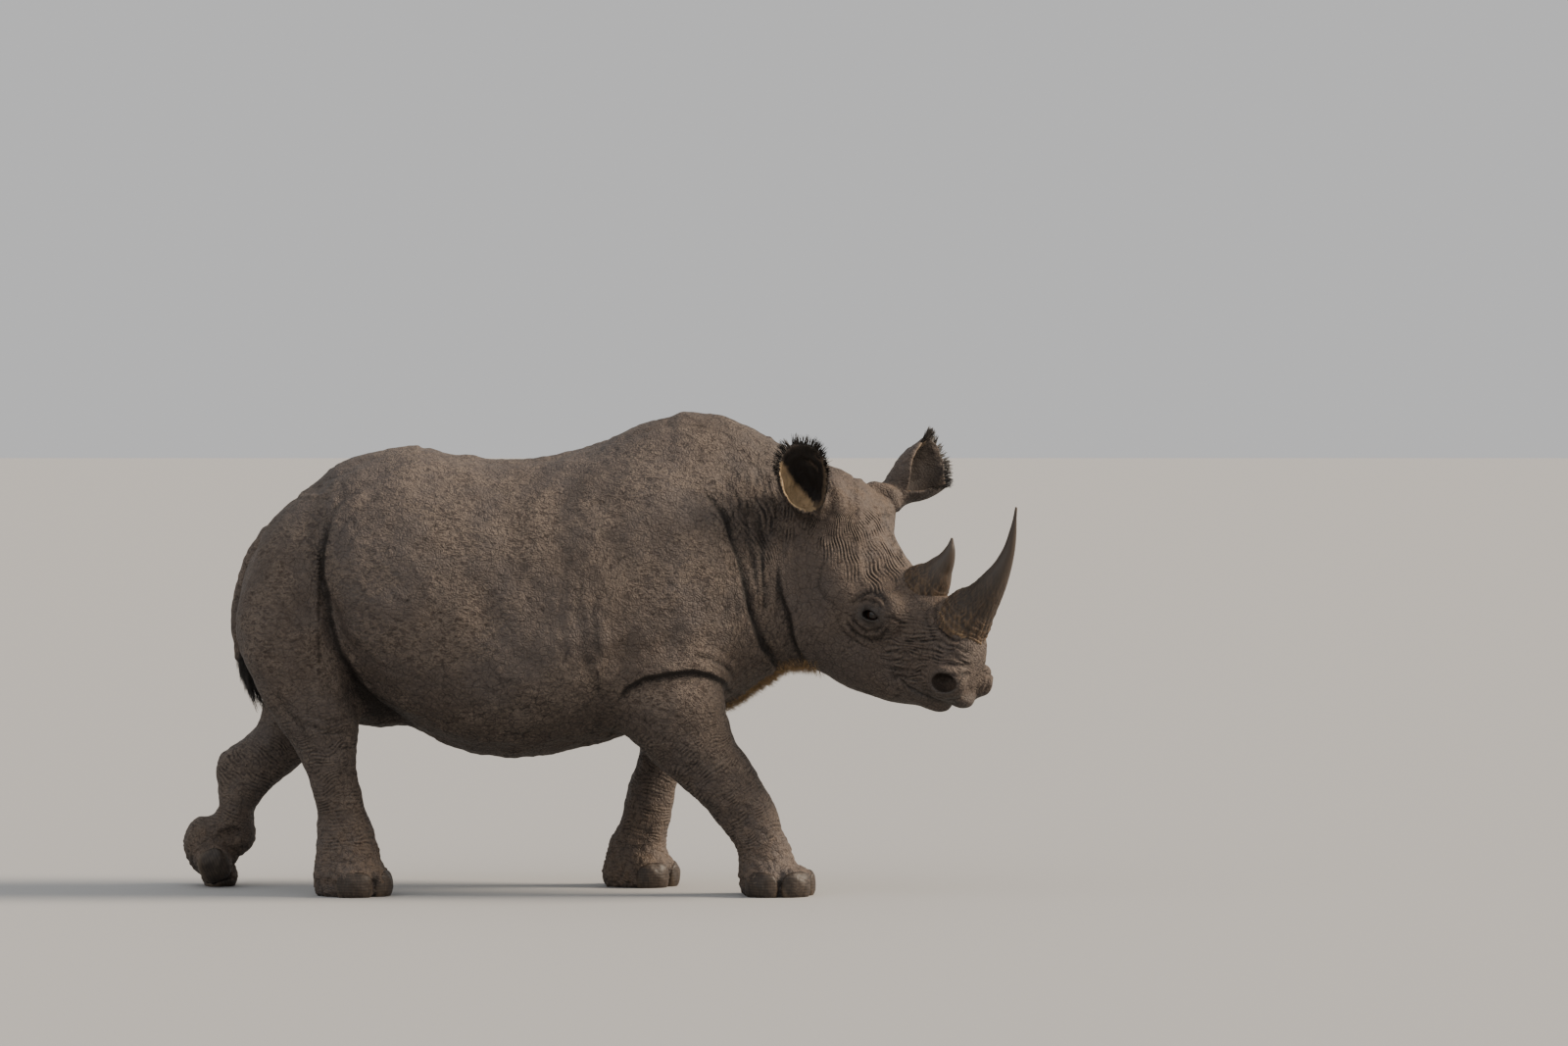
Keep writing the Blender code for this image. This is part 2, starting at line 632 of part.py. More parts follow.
def nail(frame, angle):
    """Hoof-like nail on the front of one toe: a shield a little outside the toe, flat on the floor."""
    toe = frame @ Matrix.Rotation(angle, 4, "Z") @ Matrix.Translation((TOE_OUT, 0, TOE_HEIGHT))
    mesh = ball(np.array(TOE_RADII) + NAIL_THICKNESS, toe, 2)
    shape = bmesh.new()
    shape.from_mesh(mesh)
    for place_at, normal in NAIL_CUTS:
        whole = shape.verts[:] + shape.edges[:] + shape.faces[:]
        co, no = toe @ Vector(place_at), toe.to_3x3() @ Vector(normal)
        cut = bmesh.ops.bisect_plane(shape, geom=whole, plane_co=co, plane_no=no, clear_outer=True)
        bmesh.ops.edgeloop_fill(shape, edges=[e for e in cut["geom_cut"] if isinstance(e, bmesh.types.BMEdge)])
    shape.to_mesh(mesh)
    shape.free()
    return levelled(mesh)


def prism(profile, back, front, lean=0.0, frame=Matrix.Identity(4)):
    """Block with a profile of y and z, drawn out along x; its ends lean back by lean for each metre of height."""
    points = [frame @ Vector((x - lean * z, y, z)) for x in (back, front) for y, z in profile]
    n = len(profile)
    faces = [tuple(range(n)), tuple(range(2 * n - 1, n - 1, -1))]
    faces += [(i, (i + 1) % n, n + (i + 1) % n, n + i) for i in range(n)]
    return closed_mesh(points, faces)


def shrunk(mesh):
    """Copy of a region's mesh, smaller by about the gap on every side."""
    copy = mesh.copy()
    points = np.array([v.co for v in copy.vertices])
    middle = Vector((points.min(0) + points.max(0)) / 2)
    around = Matrix.Translation(middle) @ Matrix.Scale(0.9985, 4) @ Matrix.Translation(-middle)
    copy.transform(around)
    return copy


def cut(obj, cutter, operation="DIFFERENCE"):
    step = obj.modifiers.new(cutter.name, "BOOLEAN")
    step.operation = operation
    step.solver = "EXACT"
    step.object = cutter


def seat(host, guest, cutters):
    """Hollows the host for the guest, with a gap all round."""
    grown = place("seat_" + guest.name, guest.data, cutters)
    swell = grown.modifiers.new("gap", "DISPLACE")
    swell.strength = GAP
    swell.mid_level = 0
    cut(host, grown)


def main():
    for obj in list(bpy.data.objects):
        bpy.data.objects.remove(obj)
    rhino = collection("black_rhinoceros")
    cutters = collection("cutters", helper=True)
    skin = material("skin", (0.165, 0.140, 0.122), 0.85)
    horn = material("horn", (0.115, 0.098, 0.082), 0.55)
    claw = material("nail", (0.21, 0.18, 0.155), 0.6)
    eye = material("eye", (0.018, 0.012, 0.009), 0.12)
    hair = material("hair", (0.02, 0.017, 0.015), 0.7)

    points, quads = mesh_of(flesh, (-1.5, -0.6, -0.06), (1.5, 0.6, 1.66), BODY_VOXEL)
    body = thinned(points, quads, BODY_TRIANGLES, fine_places)
    legs_profile = [(0.01, -0.1), (0.01, 0.42), (0.45, 0.86), (0.75, 0.86), (0.75, -0.1)]
    head_cut = cut_frame(HEAD_CUT_PLACE, HEAD_CUT_TILT, head_frame())
    neck_cut = cut_frame(NECK_CUT_PLACE, NECK_CUT_TILT)
    regions = {
        "head": prism([(-0.31, -0.75), (0.31, -0.75), (0.31, 0.35), (-0.31, 0.35)], 0, 1.2, frame=head_cut),
        "neck": prism([(-0.6, -1.0), (0.6, -1.0), (0.6, 0.3), (-0.6, 0.3)], 0, 1.5, frame=neck_cut),
    }
    for name, (side, _, _) in LEGS.items():
        back, front, lean = LEG_CUTS[name]
        regions[name] = prism([(side * y, z) for y, z in legs_profile], back, front, lean)

    nodes = {}
    for name in (*regions, "trunk"):
        nodes[name] = place(name, body.copy(), rhino, skin)
    for name, region in regions.items():
        whole = place("region_" + name, region, cutters)
        inner = place("inside_" + name, shrunk(region), cutters)
        cut(nodes[name], inner, "INTERSECT")
        cut(nodes["trunk"], whole)
        if name == "head":
            cut(nodes["neck"], whole)

    head_at = head_frame()
    nodes["horn_front"] = place("horn_front", tube(HORN_FRONT, head_at, 14), rhino, horn)
    nodes["horn_rear"] = place("horn_rear", tube(HORN_REAR, head_at, 12), rhino, horn)
    for name, side in SIDES.items():
        at = head_at @ Matrix.Translation(Vector(EYE_PLACE) * Vector((1, side, 1)))
        nodes["eye_" + name] = place("eye_" + name, ball([EYE_RADIUS] * 3, at, 2), rhino, eye)
        points, quads = mesh_of(ear, (-0.2, -0.15, -0.02), (0.2, 0.15, EAR_LENGTH + 0.03), EAR_VOXEL)
        m = np.array(ear_frame(*EARS[name]))
        points = points @ m[:3, :3].T + m[:3, 3]
        nodes["ear_" + name] = place("ear_" + name, thinned(points, quads, EAR_TRIANGLES), rhino, skin)
    for guest in ("horn_front", "horn_rear", "eye_right", "eye_left", "ear_right", "ear_left"):
        seat(nodes["head"], nodes[guest], cutters)
    nodes["head"] = settled(nodes["head"])

    nodes["tail"] = place("tail", tube(TAIL, Matrix.Identity(4), 10), rhino, skin)
    nodes["tail_tuft"] = place("tail_tuft", tube(TAIL_TUFT, Matrix.Identity(4), 10), rhino, hair)
    seat(nodes["trunk"], nodes["tail"], cutters)
    seat(nodes["tail_tuft"], nodes["tail"], cutters)

    for name, (side, _, stance) in LEGS.items():
        for toe, angle in TOE_ANGLES.items():
            part = f"nail_{name}_{toe}"
            mesh = nail(foot_frame(side, **stance), math.radians(side * angle))
            nodes[part] = place(part, mesh, rhino, claw)
            seat(nodes[name], nodes[part], cutters)
        nodes[name] = settled(nodes[name])

    for mesh in bpy.data.meshes:
        mesh.transform(Matrix.Translation(TO_MIDDLE))


if __name__ == "__main__":
    main()
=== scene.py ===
import math
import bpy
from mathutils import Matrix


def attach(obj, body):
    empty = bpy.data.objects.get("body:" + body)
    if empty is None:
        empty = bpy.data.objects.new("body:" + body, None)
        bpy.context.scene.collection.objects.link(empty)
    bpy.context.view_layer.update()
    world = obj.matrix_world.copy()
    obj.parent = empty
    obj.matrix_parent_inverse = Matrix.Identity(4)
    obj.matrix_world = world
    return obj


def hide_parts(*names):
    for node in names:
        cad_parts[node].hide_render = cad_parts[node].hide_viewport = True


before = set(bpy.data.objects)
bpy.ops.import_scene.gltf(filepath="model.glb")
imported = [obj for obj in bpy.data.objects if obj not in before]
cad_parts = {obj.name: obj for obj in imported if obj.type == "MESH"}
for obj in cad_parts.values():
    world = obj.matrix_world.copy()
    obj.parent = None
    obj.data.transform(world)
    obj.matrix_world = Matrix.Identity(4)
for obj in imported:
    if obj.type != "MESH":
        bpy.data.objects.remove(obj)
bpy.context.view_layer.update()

from concurrent.futures import ThreadPoolExecutor

import bmesh
import bpy
import numpy as np
import openvdb
from mathutils import Matrix, Vector

sides = {"right": -1, "left": 1}

# The animal is drawn over level ground whose height is ground; toOrigin moves it to the frame's own origin
stance = {"toOrigin": (0.0187, 0.0051, 0.015), "ground": -0.015}


# Columns of rows read at places of their first column, on smooth curves that are flat past the ends
def smoothRows(rows, at):
    rows = np.array(rows, float)
    rows = rows[np.argsort(rows[:, 0])]
    knots, values = rows[:, 0], rows[:, 1:]
    slopes = np.gradient(values, knots, axis=0)
    at = np.clip(at, knots[0], knots[-1])
    i = np.clip(np.searchsorted(knots, at) - 1, 0, len(knots) - 2)
    step = knots[i + 1] - knots[i]
    u = (at - knots[i]) / step
    a, b = (1 + 2 * u) * (1 - u) ** 2, u * (1 - u) ** 2
    c, d = u * u * (3 - 2 * u), u * u * (u - 1)
    bent = (b * step)[:, None] * slopes[i] + (d * step)[:, None] * slopes[i + 1]
    return (a[:, None] * values[i] + c[:, None] * values[i + 1] + bent).T


# Union of two fields, filled out over reach where they meet
def joined(a, b, reach):
    close = np.maximum(reach - np.abs(a - b), 0) / reach
    return np.minimum(a, b) - close * close * reach / 4


# A field that is only zero on the surface, made about as long as the distance to it
def asDistance(field, p, step=0.002):
    here = field(p)
    slope = 0.0
    for axis in range(3):
        ahead = p.copy()
        ahead[:, axis] += step
        slope = slope + (field(ahead) - here) ** 2
    return here / np.maximum(np.sqrt(slope) / step, 1.0)


# Body of rounded sections along the first axis; rows hold place, high, low, middle across, half width
def loft(p, rows, power=2.3, taper=0.0, rounded=0.001):
    def section(q):
        one, two, middle, half = smoothRows(rows, q[:, 0])
        up = (q[:, 2] - (one + two) / 2) / (np.abs(one - two) / 2)
        wide = half * (1 - taper * np.clip(up, -1, 1))
        out = np.abs(q[:, 1] - middle) / wide
        return (np.abs(up) ** power + out**power) ** (1 / power) - 1

    ends = [row[0] for row in rows]
    d = asDistance(section, p)
    return -joined(-d, -np.maximum(min(ends) - p[:, 0], p[:, 0] - max(ends)), rounded)


def ellipsoid(p, centre, radii, turn=None):
    q = p - np.array(centre)
    if turn is not None:
        q = q @ np.array(turn)
    r = np.array(radii)
    k0 = np.linalg.norm(q / r, axis=1)
    k1 = np.linalg.norm(q / (r * r), axis=1)
    return k0 * (k0 - 1) / np.maximum(k1, 1e-6)


# Tapering tube through joints, each x, y, z and radius
def limb(p, joints, pieces=4):
    rows = np.column_stack([np.arange(len(joints)), joints])
    spine = smoothRows(rows, np.linspace(0, len(joints) - 1, (len(joints) - 1) * pieces + 1)).T
    d = np.full(len(p), 1e3)
    for a, b in zip(spine[:-1], spine[1:]):
        run = b[:3] - a[:3]
        t = np.clip((p - a[:3]) @ run / (run @ run), 0, 1)
        away = np.linalg.norm(p - a[:3] - t[:, None] * run, axis=1)
        d = np.minimum(d, away - (a[3] + t * (b[3] - a[3])))
    return d


# The field inside a box, and a large distance outside it
def within(p, low, high, field):
    hit = np.all((p > np.array(low)) & (p < np.array(high)), axis=1)
    d = np.full(len(p), 1.0)
    if hit.any():
        d[hit] = field(p[hit])
    return d


def toLocal(p, matrix):
    m = np.array(matrix.inverted())
    return p @ m[:3, :3].T + m[:3, 3]


def toWorld(p, matrix):
    m = np.array(matrix)
    return p @ m[:3, :3].T + m[:3, 3]


# Smooth random waves of about one size; the same seed gives the same waves
def waves(p, size, seed, count=14):
    rng = np.random.default_rng(seed)
    total = np.zeros(len(p))
    for _ in range(count):
        way = rng.normal(size=3)
        way *= rng.uniform(0.7, 1.5) / (np.linalg.norm(way) * size)
        total += np.sin(2 * np.pi * (p @ way) + rng.uniform(0, 2 * np.pi))
    return total / math.sqrt(count / 2)


# The same waves times share, worked out only where share isn't 0
def wavesWhere(share, p, size, seed):
    total, here = np.zeros(len(p)), share != 0
    total[here] = share[here] * waves(p[here], size, seed)
    return total


# 0 up to start and 1 from start + run on; a negative run turns it round
def ramp(x, start, run):
    return np.clip((x - start) / run, 0, 1)


def bump(x, low, high, soft):
    return ramp(x, low, soft) * ramp(x, high, -soft)


# Both sides laid on the left one
def oneSided(q):
    return np.column_stack([q[:, 0], np.abs(q[:, 1]), q[:, 2]])


trunk = {
    "barrel": [  # x, top, bottom, middle y, half width
        (-0.93, 1.33, 1.08, 0, 0.27),
        (-0.90, 1.385, 0.97, 0, 0.340),
        (-0.85, 1.415, 0.81, 0, 0.392),
        (-0.75, 1.445, 0.655, 0, 0.425),
        (-0.65, 1.466, 0.560, 0, 0.438),
        (-0.50, 1.447, 0.472, 0, 0.445),
        (-0.35, 1.430, 0.436, 0, 0.445),
        (-0.20, 1.435, 0.440, 0, 0.440),
        (0.00, 1.488, 0.485, 0, 0.425),
        (0.12, 1.541, 0.520, 0, 0.395),
        (0.26, 1.575, 0.560, 0, 0.345),
        (0.42, 1.556, 0.610, 0, 0.295),
        (0.55, 1.490, 0.70, 0, 0.235),
    ],
    "pelvis": [
        (-1.14, 1.130, 0.72, 0, 0.16),
        (-1.08, 1.215, 0.66, 0, 0.205),
        (-1.00, 1.310, 0.60, 0, 0.255),
        (-0.90, 1.400, 0.56, 0, 0.285),
        (-0.80, 1.437, 0.54, 0, 0.300),
        (-0.62, 1.473, 0.54, 0, 0.32),
    ],
    "neck": [
        (0.28, 1.566, 0.63, 0, 0.33),
        (0.42, 1.553, 0.64, 0, 0.285),
        (0.50, 1.515, 0.685, -0.005, 0.260),
        (0.60, 1.478, 0.725, -0.015, 0.235),
        (0.70, 1.435, 0.765, -0.035, 0.215),
        (0.78, 1.385, 0.82, -0.060, 0.19),
        (0.84, 1.340, 0.90, -0.080, 0.155),
    ],
    "haunch": ((-0.99, 0.175, 0.95), (0.165, 0.180, 0.33)),  # place and radii
    "shoulder": ((0.20, 0.205, 1.00), (0.25, 0.172, 0.36)),
    "tail": [
        (-1.105, 0, 1.165, 0.046),
        (-1.155, 0, 1.08, 0.045),
        (-1.193, 0, 0.98, 0.038),
        (-1.212, 0, 0.87, 0.030),
        (-1.206, 0, 0.775, 0.022),
    ],
    "taper": {"pelvis": 0.10, "barrel": 0.14, "neck": 0.25},
    "reach": {"haunch": 0.08, "barrel": 0.03, "shoulder": 0.10, "tail": 0.02},
}


def muscled(d, p, name):
    (x, y, z), radii = trunk[name]
    for side in sides.values():
        d = joined(d, ellipsoid(p, (x, side * y, z), radii), trunk["reach"][name])
    return d


def trunkField(p):
    d = muscled(loft(p, trunk["pelvis"], taper=trunk["taper"]["pelvis"]), p, "haunch")
    d = joined(d, loft(p, trunk["barrel"], taper=trunk["taper"]["barrel"]), trunk["reach"]["barrel"])
    d = muscled(d, p, "shoulder")
    return joined(d, within(p, *regions["tail"], lambda q: limb(q, trunk["tail"])), trunk["reach"]["tail"])


feet = {
    "spread": 0.225,
    "toes": {"inner": -70.0, "middle": 0.0, "outer": 70.0},
    "toeOut": 0.080,
    "toeUp": 0.038,
    "toeRadii": (0.053, 0.060, 0.058),
    "pad": ((-0.015, 0, 0.035), (0.108, 0.098, 0.072)),
    "ankle": [(-0.030, 0, 0.058, 0.082), (-0.030, 0, 0.135, 0.072)],
    "reach": {"ankle": 0.04, "toe": 0.010, "leg": 0.04},
}
legs = {  # rows hold z, back, front, middle y out from the body's middle, half width
    "foreleg_right": {
        "side": -1, "x": 0.582, "turn": 48, "drop": 0, "lift": 0,
        "rows": [
            (0.95, 0.10, 0.30, 0.190, 0.06),
            (0.86, 0.02, 0.36, 0.225, 0.105),
            (0.78, -0.01, 0.395, 0.245, 0.130),
            (0.68, 0.010, 0.405, 0.253, 0.142),
            (0.60, 0.035, 0.418, 0.252, 0.142),
            (0.55, 0.065, 0.430, 0.250, 0.134),
            (0.50, 0.105, 0.447, 0.247, 0.124),
            (0.45, 0.160, 0.480, 0.244, 0.113),
            (0.40, 0.210, 0.515, 0.241, 0.104),
            (0.34, 0.280, 0.548, 0.237, 0.096),
            (0.28, 0.345, 0.577, 0.233, 0.089),
            (0.20, 0.415, 0.602, 0.228, 0.083),
            (0.14, 0.450, 0.616, 0.225, 0.086),
            (0.06, 0.470, 0.640, 0.225, 0.092),
        ],
    },
    "foreleg_left": {
        "side": 1, "x": 0.122, "turn": 7, "drop": 0, "lift": 0,
        "rows": [
            (0.95, 0.10, 0.30, 0.190, 0.06),
            (0.86, 0.02, 0.35, 0.225, 0.105),
            (0.78, -0.01, 0.385, 0.245, 0.130),
            (0.68, 0.015, 0.385, 0.253, 0.142),
            (0.60, 0.050, 0.375, 0.252, 0.140),
            (0.52, 0.100, 0.350, 0.246, 0.122),
            (0.46, 0.124, 0.315, 0.243, 0.107),
            (0.40, 0.112, 0.276, 0.240, 0.095),
            (0.34, 0.088, 0.250, 0.237, 0.088),
            (0.28, 0.074, 0.240, 0.233, 0.083),
            (0.20, 0.062, 0.222, 0.228, 0.082),
            (0.14, 0.058, 0.208, 0.225, 0.086),
            (0.06, 0.050, 0.210, 0.225, 0.092),
        ],
    },
    "hindleg_right": {
        "side": -1, "x": -0.825, "turn": 12, "drop": 0, "lift": 0,
        "rows": [
            (1.30, -0.99, -0.82, 0.120, 0.09),
            (1.20, -1.078, -0.80, 0.145, 0.135),
            (1.10, -1.142, -0.81, 0.162, 0.160),
            (1.00, -1.188, -0.84, 0.176, 0.176),
            (0.90, -1.207, -0.85, 0.190, 0.180),
            (0.80, -1.194, -0.84, 0.202, 0.173),
            (0.70, -1.150, -0.818, 0.216, 0.156),
            (0.60, -1.100, -0.805, 0.228, 0.134),
            (0.50, -1.032, -0.810, 0.235, 0.106),
            (0.42, -0.988, -0.812, 0.236, 0.087),
            (0.35, -0.960, -0.802, 0.234, 0.078),
            (0.28, -0.942, -0.780, 0.230, 0.077),
            (0.20, -0.937, -0.755, 0.226, 0.083),
            (0.14, -0.940, -0.738, 0.225, 0.088),
            (0.06, -0.942, -0.730, 0.225, 0.092),
        ],
    },
    "hindleg_left": {
        "side": 1, "x": -1.362, "turn": 5, "drop": 68.0, "lift": 0.095,
        "rows": [
            (1.30, -0.99, -0.82, 0.120, 0.09),
            (1.20, -1.078, -0.80, 0.145, 0.135),
            (1.10, -1.142, -0.81, 0.162, 0.160),
            (1.00, -1.190, -0.84, 0.176, 0.176),
            (0.90, -1.210, -0.85, 0.190, 0.180),
            (0.80, -1.198, -0.845, 0.202, 0.173),
            (0.70, -1.175, -0.835, 0.216, 0.156),
            (0.62, -1.150, -0.855, 0.226, 0.136),
            (0.55, -1.160, -0.895, 0.232, 0.115),
            (0.48, -1.215, -0.945, 0.235, 0.097),
            (0.43, -1.290, -0.985, 0.235, 0.086),
            (0.38, -1.305, -1.045, 0.234, 0.080),
            (0.32, -1.300, -1.120, 0.231, 0.077),
            (0.26, -1.300, -1.170, 0.228, 0.077),
            (0.19, -1.315, -1.200, 0.226, 0.080),
        ],
    },
}


def footMatrix(leg):
    at = Matrix.Translation((leg["x"], leg["side"] * feet["spread"], stance["ground"] + leg["lift"]))
    turn = Matrix.Rotation(math.radians(leg["side"] * leg["turn"]), 4, "Z")
    return at @ turn @ Matrix.Rotation(math.radians(leg["drop"]), 4, "Y")


# A toe with a broad face, measured from its middle with x outwards
def toeField(p, radii):
    r = np.abs(p) / np.array(radii)
    face = (r[:, 1] ** 3 + r[:, 2] ** 3) ** (2 / 3)
    return (np.sqrt(face + r[:, 0] ** 2) - 1) * min(radii)


def footField(p, leg):
    q = toLocal(p, footMatrix(leg))
    d = joined(ellipsoid(q, *feet["pad"]), limb(q, feet["ankle"]), feet["reach"]["ankle"])
    for angle in feet["toes"].values():
        a = math.radians(angle)
        toe = (feet["toeOut"] * math.cos(a), feet["toeOut"] * math.sin(a), feet["toeUp"])
        turned = (q - np.array(toe)) @ np.array(Matrix.Rotation(a, 3, "Z"))
        d = joined(d, toeField(turned, feet["toeRadii"]), feet["reach"]["toe"])
    return d


def legField(p, leg):
    q = (p * [1, leg["side"], 1])[:, [2, 1, 0]]
    low, high = (leg["x"] - 0.3, -0.6, -0.2), (leg["x"] + 0.3, 0.6, 0.4)
    foot = within(p, low, high, lambda r: footField(r, leg))
    return joined(loft(q, leg["rows"], power=2.2), foot, feet["reach"]["leg"])


def legsField(p):
    d = np.full(len(p), 1.0)
    for leg in legs.values():
        rows = np.array(leg["rows"])
        reach = sorted((-0.1 * leg["side"], 0.65 * leg["side"]))
        low = (rows[:, 1].min() - 0.2, reach[0], -0.2)
        high = (rows[:, 2].max() + 0.2, reach[1], rows[:, 0].max() + 0.08)
        d = np.minimum(d, within(p, low, high, lambda q: legField(q, leg)))
    return d


head = {
    "origin": (0.992, -0.18, 0.920),  # between the eyes
    "turn": 36.0,  # to the animal's right
    "drop": 35.0,  # nose down
    "skull": [  # along towards the muzzle, top, bottom, middle, half width
        (-0.50, 0.150, 0.04, 0, 0.10),
        (-0.46, 0.205, -0.01, 0, 0.140),
        (-0.42, 0.238, -0.08, 0, 0.163),
        (-0.36, 0.250, -0.185, 0, 0.175),
        (-0.28, 0.232, -0.274, 0, 0.175),
        (-0.20, 0.188, -0.312, 0, 0.168),
        (-0.10, 0.154, -0.320, 0, 0.160),
        (0.00, 0.146, -0.308, 0, 0.148),
        (0.08, 0.152, -0.280, 0, 0.128),
        (0.16, 0.165, -0.248, 0, 0.110),
        (0.24, 0.166, -0.200, 0, 0.103),
        (0.29, 0.150, -0.160, 0, 0.102),
        (0.335, 0.112, -0.128, 0, 0.096),
        (0.365, 0.076, -0.105, 0, 0.084),
        (0.387, 0.026, -0.080, 0, 0.054),
    ],
    "eye": (0.0, 0.134, 0.0),
    "eyeRadius": 0.031,
    "lid": 0.0375,
    "opening": (0.0285, 0.0155),  # half length and half height between the lids
    "slant": 21.0,  # degrees that the lids rise towards the muzzle
    "nostril": (0.338, 0.112, -0.030),
    "masses": {  # laid on each side in turn: kind, its places and sizes, and how widely it is filled in
        "cheek": (ellipsoid, ((-0.19, 0.105, -0.12), (0.17, 0.085, 0.165)), 0.06),
        "arch": (limb, ([
            (-0.36, 0.140, 0.08, 0.05), (-0.20, 0.150, 0.02, 0.042), (-0.05, 0.125, -0.045, 0.036),
        ],), 0.06),
        "orbit": (ellipsoid, ((-0.005, 0.115, 0.012), (0.088, 0.052, 0.080)), 0.04),
        "nose": (ellipsoid, ((0.325, 0.070, -0.035), (0.068, 0.044, 0.060)), 0.035),
        "earRoot": (limb, ([(-0.33, 0.11, 0.15, 0.07), (-0.366, 0.180, 0.192, 0.048)],), 0.06),
        "earFold": (limb, ([
            (-0.385, 0.125, 0.225, 0.030), (-0.350, 0.155, 0.238, 0.026), (-0.315, 0.165, 0.215, 0.020),
        ],), 0.012),
    },
    "lip": ((0.350, 0, -0.078), (0.056, 0.056, 0.036)),
    "chin": ((0.255, 0, -0.141), (0.085, 0.066, 0.045)),
    "reach": {"mouth": 0.006, "lips": 0.025},
}


def headMatrix():
    turn = Matrix.Rotation(-math.radians(head["turn"]), 4, "Z")
    drop = Matrix.Rotation(math.radians(head["drop"]), 4, "Y")
    return Matrix.Translation(head["origin"]) @ turn @ drop


ears = {
    # curl is how much further the front wall rolls in low down, in degrees; narrow is how much closer it is
    "right": {
        "root": (-0.362, -0.194, 0.150), "axis": (-0.30, -0.60, 0.742), "facing": (0.75, -0.55, 0.30),
        "curl": 24.0, "narrow": 0.38,
    },
    "left": {
        "root": (-0.356, 0.194, 0.212), "axis": (-0.11, 0.72, 0.685), "facing": (0.984, -0.446, 0.347),
        "curl": 44.0, "narrow": 0.0,
    },
    "length": 0.270,
    "leastWall": 0.0095,
    # Painted light on each ear's rear inner wall and rim, and painted shade in its hollow, stronger on the
    # right ear than the left
    "earLightStrength": {"right": 1.0, "left": 0.35},
    "depth": {"right": 1.0, "left": 0.75},
    "litBandEdge": (  # share of the length, and where the band of painted light starts there
        (0.06, 0.14, 0.26, 0.40, 0.54, 0.70, 0.84, 0.93),
        (-0.56, -0.28, -0.04, 0.08, 0.16, 0.24, 0.50, 1.1),
    ),
    "curled": (0.08, 0.80, 0.30),  # low, high and softness of the rolled part, as shares of the length
    "squeezed": (-0.20, 0.85, 0.50),
    "rows": [  # share of the length, radius of the roll, half its angle, its back, thickness
        (0.00, 0.022, 178, -0.026, 0.060),
        (0.09, 0.026, 176, -0.032, 0.056),
        (0.16, 0.042, 158, -0.046, 0.034),
        (0.25, 0.062, 138, -0.058, 0.017),
        (0.38, 0.078, 115, -0.067, 0.012),
        (0.55, 0.086, 97, -0.068, 0.010),
        (0.72, 0.085, 82, -0.062, 0.009),
        (0.86, 0.081, 62, -0.053, 0.008),
        (0.95, 0.077, 36, -0.046, 0.007),
        (1.00, 0.075, 4, -0.043, 0.006),
    ],
}


def earMatrix(ear):
    z = Vector(ear["axis"]).normalized()
    x = Vector(ear["facing"])
    x = (x - z * x.dot(z)).normalized()
    turn = Matrix([x, z.cross(x), z]).transposed().to_4x4()
    return headMatrix() @ Matrix.Translation(ear["root"]) @ turn


def frontOf(ear):
    return 1 if earMatrix(ear).col[1].x > 0 else -1


def rollAngle(ear, share, angle, inFront):
    return np.clip(angle + ear["curl"] * inFront * bump(share, *ears["curled"]), 0, 178)


def squeeze(ear, share, inFront):
    return 1 - ear["narrow"] * inFront * bump(share, *ears["squeezed"])


def earField(p, ear):
    def shell(q):
        share = q[:, 2] / ears["length"]
        radius, angle, back, thick = smoothRows(ears["rows"], share)
        inFront = q[:, 1] * frontOf(ear) > 0
        angle = rollAngle(ear, share, angle, inFront)
        x, y = q[:, 0] - (back + radius), np.abs(q[:, 1]) / squeeze(ear, share, inFront)
        openAt = np.radians(np.clip(angle, 2, 178))
        turn = np.arctan2(y, -x)
        onWall = np.abs(np.hypot(x, y) - radius)
        atRim = np.hypot(x + radius * np.cos(openAt), y - radius * np.sin(openAt))
        return np.where(turn < openAt, onWall, atRim) - np.maximum(thick, ears["leastWall"]) / 2

    q = toLocal(p, earMatrix(ear))
    d = asDistance(shell, q)
    return np.maximum(d, np.maximum(-0.01 - q[:, 2], q[:, 2] - ears["length"]))


lids = {
    "rims": [  # upper and lower, each from the back of the eye to its front: along, out, up, radius
        [
            (-0.042, 0.018, -0.006, 0.004),
            (-0.024, 0.032, 0.0105, 0.0068),
            (0.0, 0.0355, 0.0185, 0.0080),
            (0.022, 0.031, 0.0105, 0.0066),
            (0.044, 0.016, -0.004, 0.0038),
        ],
        [
            (-0.042, 0.018, -0.008, 0.004),
            (-0.020, 0.033, -0.0150, 0.0048),
            (0.002, 0.035, -0.0185, 0.0052),
            (0.024, 0.029, -0.0125, 0.0045),
            (0.046, 0.014, -0.004, 0.003),
        ],
    ],
    "reach": {"lid": 0.012, "rim": 0.006},
    "bow": 0.10,
    "behind": 0.010,
    "gap": 0.0006,  # between eyeball and lids
}


# Along and across the slanted opening between the lids
def slanted(r):
    tilt = math.radians(head["slant"])
    along = np.cos(tilt) * r[:, 0] + np.sin(tilt) * r[:, 2]
    return along, -np.sin(tilt) * r[:, 0] + np.cos(tilt) * r[:, 2]


# Lids over the eyeball, open in a slanted almond; r is measured from the eye's middle, with y outwards
def eyelids(d, r):
    u, v = slanted(r)
    d = joined(d, np.linalg.norm(r, axis=1) - head["lid"], lids["reach"]["lid"])
    for rim in lids["rims"]:
        d = joined(d, limb(np.stack([u, r[:, 1], v], 1), rim), lids["reach"]["rim"])
    long, high = head["opening"]
    slit = (np.hypot(u / long, (v + lids["bow"] * u**2 / long) / high) - 1) * high
    slit = np.maximum(slit, lids["behind"] - r[:, 1])
    ball = np.linalg.norm(r, axis=1) - head["eyeRadius"] - lids["gap"]
    return np.maximum(d, -np.minimum(slit, ball))


